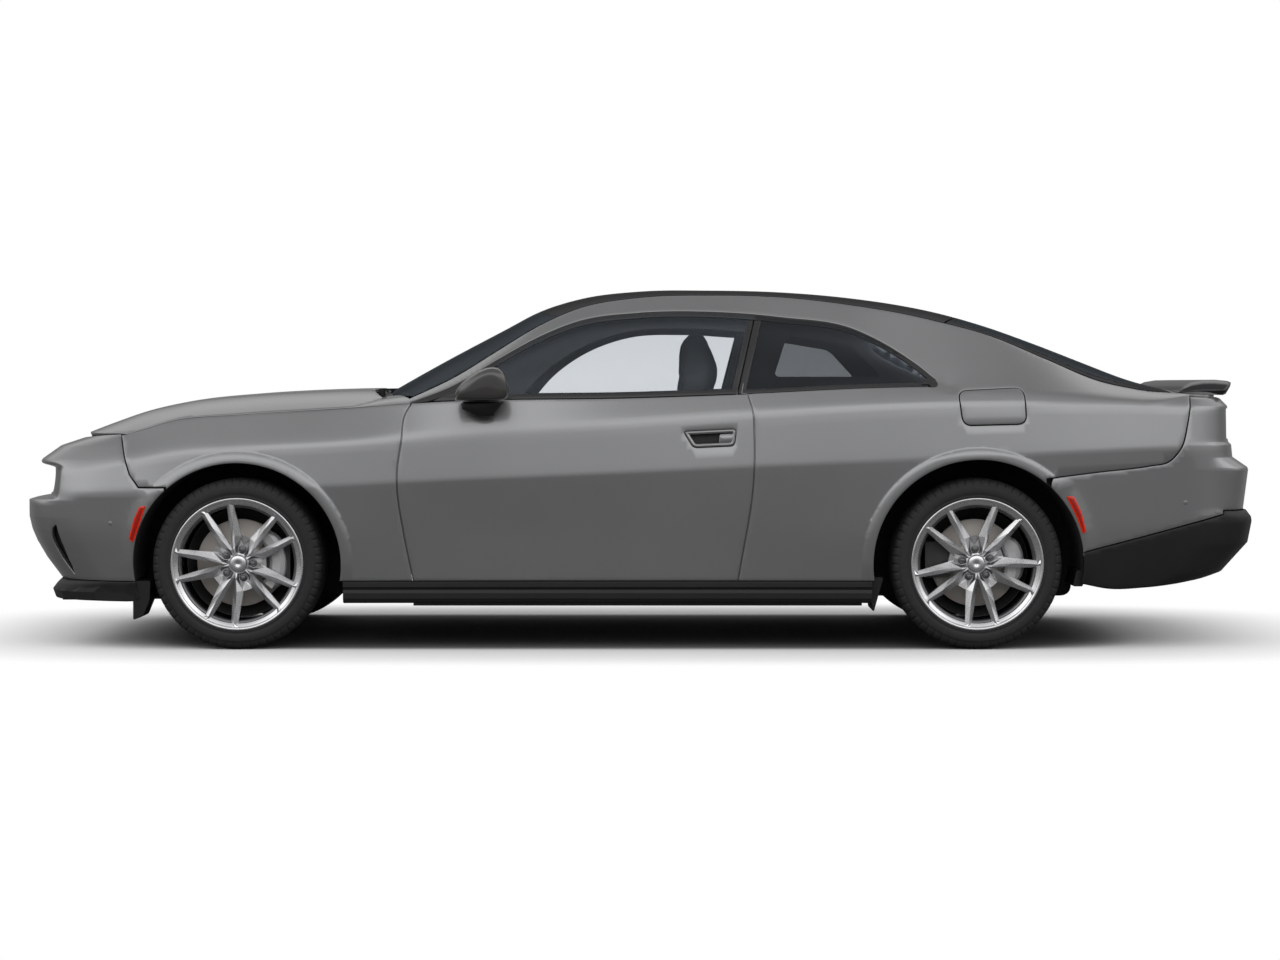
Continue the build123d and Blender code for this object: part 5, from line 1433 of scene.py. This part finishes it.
LENGTHWISE, CROSSWISE = 40, 21                   # points of the roof lining
lining_x = np.linspace(-0.30, 1.25, LENGTHWISE)
lining_rows = [arched_top(lining_x, np.full(LENGTHWISE, y), -0.040)
               for y in np.linspace(-0.56, 0.56, CROSSWISE)]
index = np.arange(LENGTHWISE * CROSSWISE).reshape(CROSSWISE, LENGTHWISE)
lining_faces = np.stack((index[:-1, :-1], index[:-1, 1:], index[1:, 1:], index[1:, :-1]),
                        axis=-1).reshape(-1, 4)
lining = mesh_piece("roof_lining", np.concatenate(lining_rows), lining_faces, cabin_black)
thickened(lining, 0.006)
show(lining, "body", "interior")
shelf_loops = [[(1.30, y, 1.000), (1.30, y, 1.016), (2.05, y, 1.030), (2.05, y, 1.014)]
               for y in np.linspace(-0.60, 0.60, 12)]
shelf = swept("parcel_shelf", shelf_loops, felt_black, soft=False)
show(shelf, "body", "interior")


def door_card(x, z):
    """The lining inside a door, parallel to its skin."""
    return side(x, z) + (0, 0.060, 0)


card = ring(run([(-0.84, 0.34), (0.38, 0.34)]), run([(0.38, 0.34), (0.40, 1.045)]),
            belt(0.40, -0.84, 0.012), run([(-0.84, 1.01), (-0.84, 0.34)]))
pair("door_card", door_card, card, body_grid(-0.8, 0.4), 0.020, cabin_black, "door", "interior")

# ------------------------------------------------------------------ handles, mirrors, lamps and small trims
# A painted grip in a moulded cup in each door, gloss black mirrors on plastic feet, red side markers, clear
# lamp units and slats in the nose slot, a full-width red lamp in the tail, the charge port and sensors.
def recess(x, z):
    """The bottom of the cup behind a door's grip, parallel to the skin."""
    return side(x, z) + (0, 0.026, 0)


def grip(x, z):
    """The pull: a bar that stands out of its recess to just under the door's skin."""
    swell = 0.006 * np.sin(np.pi * np.clip((z - 0.866) / 0.034, 0, 1))
    return side(x, z) + np.stack((0 * x, 0.006 - swell, 0 * x), axis=1)


pair("handle_cup", recess, drawn_in(handle_hole, -0.006), body_grid(0.17, 0.41), 0.006, trim_black, "door",
     "black_trim")
bezel = drawn_in(handle_hole, 0.0025)
edges = (side(*bezel.T) + (0, 0.001, 0), side(*drawn_in(bezel, 0.013).T) + (0, 0.0035, 0),
         recess(*drawn_in(bezel, 0.015).T), recess(*bezel.T))
for side_name, flip in SIDES:
    lip_loops = [[edge[i] * (1, flip, 1) for edge in edges] for i in (*range(len(bezel)), 0)]
    lip = outward_faces(swept(f"handle_bezel_{side_name}", lip_loops, body_paint, closed_ends=False))
    show(lip, f"door_{side_name}", "body_paint")
grip_ring = rounded([(0.326, 0.858), (0.386, 0.861), (0.390, 0.900), (0.330, 0.897)], 0.008)
pair("door_grip", grip, grip_ring, body_grid(0.2, 0.4, step=0.008), 0.018, body_paint, "door", "body_paint")

HEAD = np.array([(-762, 1035), (-765, 1062), (-756, 1082), (-735, 1108), (-707, 1132), (-670, 1156),
                 (-634, 1170), (-608, 1173), (-585, 1169), (-565, 1156), (-552, 1138), (-544, 1110),
                 (-539, 1076), (-543, 1056), (-556, 1040), (-590, 1033), (-640, 1032), (-700, 1032)]) / 1000
head_middle = HEAD.mean(axis=0)
mirror_black = plain_finish("mirror_black", (0.026, 0.025, 0.024), (0.044, 0.042, 0.040), 0.18, 0.08, 0.2,
                            Coat_Weight=0.6)
# The mirror's head as (how far out, share of HEAD), its foot as (height, front, rear, half-width) and its
# arm as (how far out, height, half-length, half-height).
HEAD_RINGS = ((0.962, 0.60), (0.966, 0.78), (0.976, 0.91), (0.994, 0.985), (1.020, 1.0), (1.050, 0.99),
              (1.074, 0.95), (1.090, 0.87), (1.099, 0.74), (1.102, 0.55))
FOOT_RINGS = ((1.031, -0.730, -0.560, 0.046), (1.020, -0.742, -0.570, 0.050),
              (1.000, -0.738, -0.585, 0.048), (0.985, -0.712, -0.598, 0.040), (0.972, -0.690, -0.605, 0.026))
ARM_RINGS = ((0.915, 1.030, 0.045, 0.014), (0.935, 1.020, 0.042, 0.016), (0.960, 1.005, 0.038, 0.018),
             (0.985, 0.998, 0.034, 0.018))


def circle(count):
    """Points round a unit circle, one row each."""
    turn = np.linspace(0, 2 * np.pi, count, endpoint=False)
    return np.stack((np.cos(turn), np.sin(turn)), axis=1)


for side_name, side_sign in (("left", -1), ("right", 1)):
    loops = []
    for out, grow in HEAD_RINGS:
        x = head_middle[0] + (HEAD[:, 0] - head_middle[0]) * grow + (out - 1.03) * 0.10
        z = head_middle[1] + (HEAD[:, 1] - head_middle[1]) * grow
        loops.append(np.stack((x, np.full(len(HEAD), side_sign * out), z), axis=1))
    head_piece = outward_faces(swept(f"mirror_head_{side_name}", loops, mirror_black))
    show(head_piece, f"mirror_{side_name}", "black_panel", f"mirror_{side_name}")
    cup = [[((x_a + x_b) / 2 + (x_b - x_a) / 2 * c, side_sign * (0.985 + wide * s), level)
            for c, s in circle(24)]
           for level, x_a, x_b, wide in FOOT_RINGS]
    foot = outward_faces(swept(f"mirror_foot_{side_name}", cup, trim_black))
    show(foot, f"door_{side_name}", "black_trim")
    arm_loops = [[(-0.660 + long * c, side_sign * out, height + high * s) for c, s in circle(16)]
                 for out, height, long, high in ARM_RINGS]
    arm = outward_faces(swept(f"mirror_arm_{side_name}", arm_loops, trim_black))
    show(arm, f"door_{side_name}", "black_trim")

marker_red = plain_finish("marker_lens", (0.72, 0.022, 0.004), (0.85, 0.035, 0.006), 0.25, 0.05, 0.02,
                          Specular_IOR_Level=0.3)
marker_deep = plain_finish("marker_core", (0.30, 0.008, 0.003), (0.42, 0.012, 0.004), 0.2, 0.05, 0.01,
                           Specular_IOR_Level=0.3)
lamp_red = Finish("lamp_red", Roughness=0.12, Coat_Weight=1.0, Coat_Roughness=0.02)
ribs_field = (lamp_red.axis("Y") * 160.0).work("SINE")
lamp_red = lamp_red.feed(Base_Color=lamp_red.blend(ribs_field * 0.5 + 0.5, (0.20, 0.006, 0.005),
                                                   (0.42, 0.014, 0.010)),
                         Roughness=ribs_field * 0.03 + 0.14)


def proud_side(x, z):
    """Just outside the body side, where the marker lamps lie."""
    return side(x, z) - (0, 0.003, 0)


def marker_face(x, z):
    """The raised middle of a marker lamp."""
    return proud_side(x, z) - (0, 0.0012, 0)


MARKERS = {
    "front": [(-2.075, 0.596), (-2.047, 0.599), (-2.073, 0.520), (-2.100, 0.446), (-2.121, 0.460),
              (-2.098, 0.545)],
    "rear": [(1.762, 0.640), (1.797, 0.638), (1.828, 0.572), (1.848, 0.492), (1.832, 0.483),
             (1.806, 0.552)],
}
for name, corners in MARKERS.items():
    loop = anticlockwise(rounded(corners, 0.006))
    pair(f"{name}_marker", proud_side, loop, no_points, 0.008, marker_red, "body", "lamp_red", roll=0.002)
    pair(f"{name}_marker_core", marker_face, drawn_in(loop, 0.0065), no_points, 0.003, marker_deep, "body",
         "lamp_red", roll=0.001)


def deeper(surface, depth):
    """The same bumper surface, moved along the car into its opening."""
    return lambda s, z: surface(s, z) + (depth, 0, 0)


def slot_grid(low, high, reach):
    """Points over a slot's back, between two heights and as far as reach each side."""
    grid = np.meshgrid(np.arange(-reach, reach, 0.03), np.arange(low, high, 0.02))
    return np.stack([a.ravel() for a in grid], axis=1)


SILL_LOW, SILL_HIGH, LIP_Z = 0.648, 0.690, 0.640   # the ledge's two edges and the lip that it rises from


def lamp_sill_surface(s, z):
    """A dark ledge that rises rearwards from the top of the lower bumper to the foot of the lamps."""
    share = (z - SILL_LOW) / 0.045
    return nose(s, np.full_like(z, LIP_Z)) + np.stack((0.030 + 0.070 * share, 0 * s, z - LIP_Z), axis=1)


lamp_sill = plate("lamp_sill", lamp_sill_surface, band(0.73, SILL_LOW, SILL_HIGH), no_points, 0.008,
                  trim_black, away=(-1, 0, 0), roll=0.001)
show(lamp_sill, "body", "black_trim")
slot_back = plate("nose_slot_back", deeper(nose, 0.055), lamp_slot * (1.03, 1), slot_grid(0.65, 0.76, 0.72),
                  0.006, trim_black, away=(-1, 0, 0))
show(slot_back, "body", "black_panel", "front_grille")
lamp_white = Finish("lamp_clear", Roughness=0.08, Coat_Weight=1.0, Coat_Roughness=0.02,
                    Emission_Strength=0.15, Emission_Color=(1, 1, 1, 1))
facet = lamp_white.cells(0.006)
lamp_white = lamp_white.feed(Base_Color=lamp_white.blend(facet, (0.55, 0.57, 0.60), (0.78, 0.80, 0.83)),
                             Metallic=facet * 0.4)
lamp_bar = plate("lamp_bar", deeper(nose, 0.030), band(0.69, 0.738, 0.750), no_points, 0.012, lamp_white,
                 away=(-1, 0, 0), roll=0.002)
show(lamp_bar, "body", "lamp_clear")
units = []
for side_sign in (-1, 1):
    for number in range(3):
        middle = side_sign * (0.44 + 0.082 * number)
        left, right = middle - 0.034, middle + 0.034
        unit_outline = four_sided([(left, 0.664), (right, 0.664), (right, 0.722), (left, 0.722)], 0.012)
        units.append(plate("unit", deeper(nose, 0.036), unit_outline, no_points, 0.020, lamp_white,
                           away=(-1, 0, 0), roll=0.004))
show(joined("lamp_units", units), "body", "lamp_clear", "headlamps")
slats = [plate("slat", deeper(nose, 0.040), band(0.38, level - 0.003, level + 0.003), no_points, 0.012,
               gloss_black, away=(-1, 0, 0), roll=0.001) for level in (0.664, 0.680, 0.696, 0.712, 0.728)]
show(joined("grille_slats", slats), "body", "black_panel")
low_back = plate("low_grille_back", deeper(nose, 0.060), low_slot * (1.04, 1), slot_grid(0.36, 0.46, 0.52),
                 0.006, trim_black, away=(-1, 0, 0))
show(low_back, "body", "black_trim")
bars = []
for level in np.arange(0.364, 0.456, 0.0145):
    half = 0.50 + (level - 0.352) / 0.106 * 0.06             # as wide as the slot is at this height
    low, high = level - 0.002, level + 0.0025
    bar_outline = ring(run([(-half, low), (half, low)], 0.02), run([(half, low), (half, high)], 0.002)[1:],
                       run([(half, high), (-half, high)], 0.02),
                       run([(-half, high), (-half, low)], 0.002)[1:])
    bars.append(plate("bar", deeper(nose, 0.030), bar_outline, no_points, 0.010, trim_black, away=(-1, 0, 0),
                      roll=0.0008))
show(joined("low_grille_bars", bars), "body", "black_trim")


def curtain_surface(s, z):
    """Behind the corner openings: the nose drawn in towards the middle and moved back."""
    return nose(s, z) * (1, 0.975, 1) + (0.018, 0, 0)


curtain_outline = drawn_in(anticlockwise(curtain), -0.022)
for side_name, flip in SIDES:
    curtain_back = plate(f"curtain_back_{side_name}", curtain_surface, curtain_outline * (flip, 1),
                         no_points, 0.006, felt_black, away=(-1, 0, 0))
    show(curtain_back, "body", "black_trim")

bay_back = plate("tail_bay_back", deeper(tail, -0.030), lamp_bay * (1.02, 1), slot_grid(0.88, 1.0, 0.72),
                 0.006, trim_black, away=(1, 0, 0))
show(bay_back, "body", "black_panel")
lamp_end = rounded([(0.650, 0.908), (0.700, 0.908), (0.700, 0.966), (0.650, 0.966)], 0.004, 0.02)
lamp_outlines = (band(0.700, 0.884, 0.906), band(0.700, 0.968, 0.990), lamp_end * (-1, 1), lamp_end)
bars = [plate("bar", deeper(tail, -0.012), outline, no_points, 0.016, lamp_red, away=(1, 0, 0), roll=0.003)
        for outline in lamp_outlines]
show(joined("tail_lamp_ring", bars), "body", "lamp_red", "tail_lamps")
valance_back = plate("valance_slot_back", deeper(tail, -0.045), valance_slot * (1.04, 1),
                     slot_grid(0.34, 0.45, 0.5), 0.006, trim_black, away=(1, 0, 0))
show(valance_back, "body", "black_trim")


def behind_side(depth):
    """The body side's surface, moved straight inwards."""
    return lambda x, z: side(x, z) + (0, depth, 0)


port_ring = drawn_in(anticlockwise(flap_hole), -0.003)
port_back = plate("charge_port_back", behind_side(0.055), port_ring, no_points, 0.004, trim_black)
port_loops = [[side(*point[:, None])[0] + (0, depth, 0) for depth in (0.004, 0.057)]
              for point in (*port_ring, port_ring[0])]
port_faces = [(2 * i, 2 * i + 1, 2 * i + 3, 2 * i + 2) for i in range(len(port_ring))]
port_walls = mesh_piece("charge_port_walls", np.array(port_loops).reshape(-1, 3), port_faces, trim_black)
thickened(port_walls, 0.002)
port_middle = port_ring.mean(axis=0)
PIN_SPOTS = ((-0.015, 0.012), (0.015, 0.012), (0.0, -0.012))
pin_holes = [port_middle + spot + 0.006 * circle(48)[::4] for spot in PIN_SPOTS]
socket = plate("charge_socket", behind_side(0.040), port_middle + 0.036 * circle(48), no_points, 0.016,
               gloss_black, pin_holes, roll=0.002)
for piece in (port_back, port_walls, socket):
    show(piece, "body", "black_trim")

SENSOR_RADIUS = 0.0095


def widened(surface):
    """A bumper's surface, a hair further out at its sides."""
    return lambda s, z: surface(s, z) * (1, 1.0012, 1)


for end, spot, surface, place in (("front", (-2.200, 0.525), nose, nose_place),
                                  ("rear", (2.270, 0.610), tail, tail_place)):
    outline = place(spot + SENSOR_RADIUS * circle(24))
    for side_name, flip in SIDES:
        sensor = plate(f"sensor_{end}_{side_name}", widened(surface), outline * (flip, 1), no_points, 0.004,
                       body_paint, away=(0, -flip, 0), roll=0.002)
        show(sensor, "body", "body_paint")

dress(trim_black, "cowl_panel", "front_splitter")

# ------------------------------------------------------------------ studio
# A pale floor and a soft sky, brightest overhead. The camera and the glass see white beyond the car's soft
# shadow, and under the car the floor itself is darkened into a painted shadow; the paint sees the sky and a
# greyer floor, a painted shade which gives its sides their shading.
floor_finish = Finish("floor", Roughness=0.9, Specular_IOR_Level=0.1)
rays = floor_finish.node("LightPath")
seen = floor_finish.out(rays, "Is Camera Ray")
away_x, away_y = floor_finish.axis("X") * (1 / 3.3), floor_finish.axis("Y") * (1 / 1.75)
# Over the car's footprint the floor seen by the camera is darkened to a dark grey: a painted shadow, whose
# size these give.
painted_shadow_x, painted_shadow_y = floor_finish.axis("X") * (1 / 2.10), floor_finish.axis("Y") * (1 / 0.98)
beyond = (painted_shadow_x.work("POWER", 6.0) + painted_shadow_y.work("POWER", 6.0)).step(0.35, 1.15)
# Every ray but the camera's sees the floor painted a dark grey: a painted shade on the car's lower sides in
# reflection.
ground = floor_finish.blend(seen, (0.20, 0.20, 0.20), (0.96, 0.96, 0.96))
# The painted shadow: the camera's floor colour falls to 0.22 under the car and rises to 0.96 outside it.
ground = floor_finish.blend(beyond * seen + (1.0 - seen), (0.22, 0.22, 0.22), ground)
white_share = (away_x.work("POWER", 4.0) + away_y.work("POWER", 4.0)).step(0.15, 1.0) * seen
floor_finish.feed(Base_Color=ground)
glow = floor_finish.node("Emission", Color=(1, 1, 1, 1), Strength=1.0)
mixed = floor_finish.node("MixShader")
floor_finish.tree.links.new(white_share.socket, mixed.inputs[0])
floor_finish.tree.links.new(floor_finish.shader.outputs[0], mixed.inputs[1])
floor_finish.tree.links.new(glow.outputs[0], mixed.inputs[2])
floor_finish.tree.links.new(mixed.outputs[0], floor_finish.tree.nodes["Material Output"].inputs["Surface"])
floor = mesh_piece("floor", [(-30, -30, 0), (30, -30, 0), (30, 30, 0), (-30, 30, 0)], [(0, 1, 2, 3)],
                   floor_finish.material)

world = bpy.data.worlds.new("studio")
world.use_nodes = True
bpy.context.scene.world = world
sky_tree = world.node_tree
sky = sky_tree.nodes["Background"]
split = sky_tree.nodes.new("ShaderNodeSeparateXYZ")
height, across = Field(sky_tree, split.outputs["Z"]), Field(sky_tree, split.outputs["Y"])
direction = sky_tree.nodes.new("ShaderNodeTexCoord")
sky_tree.links.new(direction.outputs["Generated"], split.inputs["Vector"])
path = sky_tree.nodes.new("ShaderNodeLightPath")
straight = Field(sky_tree, path.outputs["Is Camera Ray"])
HORIZON, SLANT, OVERHEAD = 0.42, 1.60, 0.60      # sky strength level with the car, halfway up and overhead
NEAR_SIDE, FAR_SIDE = 1.12, 0.45                  # and its share on the car's left and right
level = height.step(0.15, 0.52) * (SLANT - HORIZON) - height.step(0.60, 0.90) * (SLANT - OVERHEAD) + HORIZON
level = level * (NEAR_SIDE - across.step(-0.1, 0.55) * (NEAR_SIDE - FAR_SIDE))
level = level + straight * (1.0 - level)
sky.inputs["Color"].default_value = (1, 1, 1, 1)
sky_tree.links.new(level.socket, sky.inputs["Strength"])

camera = bpy.data.objects.new("camera", bpy.data.cameras.new("camera"))
bpy.context.scene.collection.objects.link(camera)
camera.data.lens, camera.data.sensor_width, camera.data.clip_end = 85.0, 36.0, 200.0
camera.location = (0.0, -13.5, 1.1)
camera.rotation_euler = (np.radians(90 - 1.804), 0, 0)
bpy.context.scene.camera = camera
bpy.context.scene.view_settings.view_transform = "Standard"
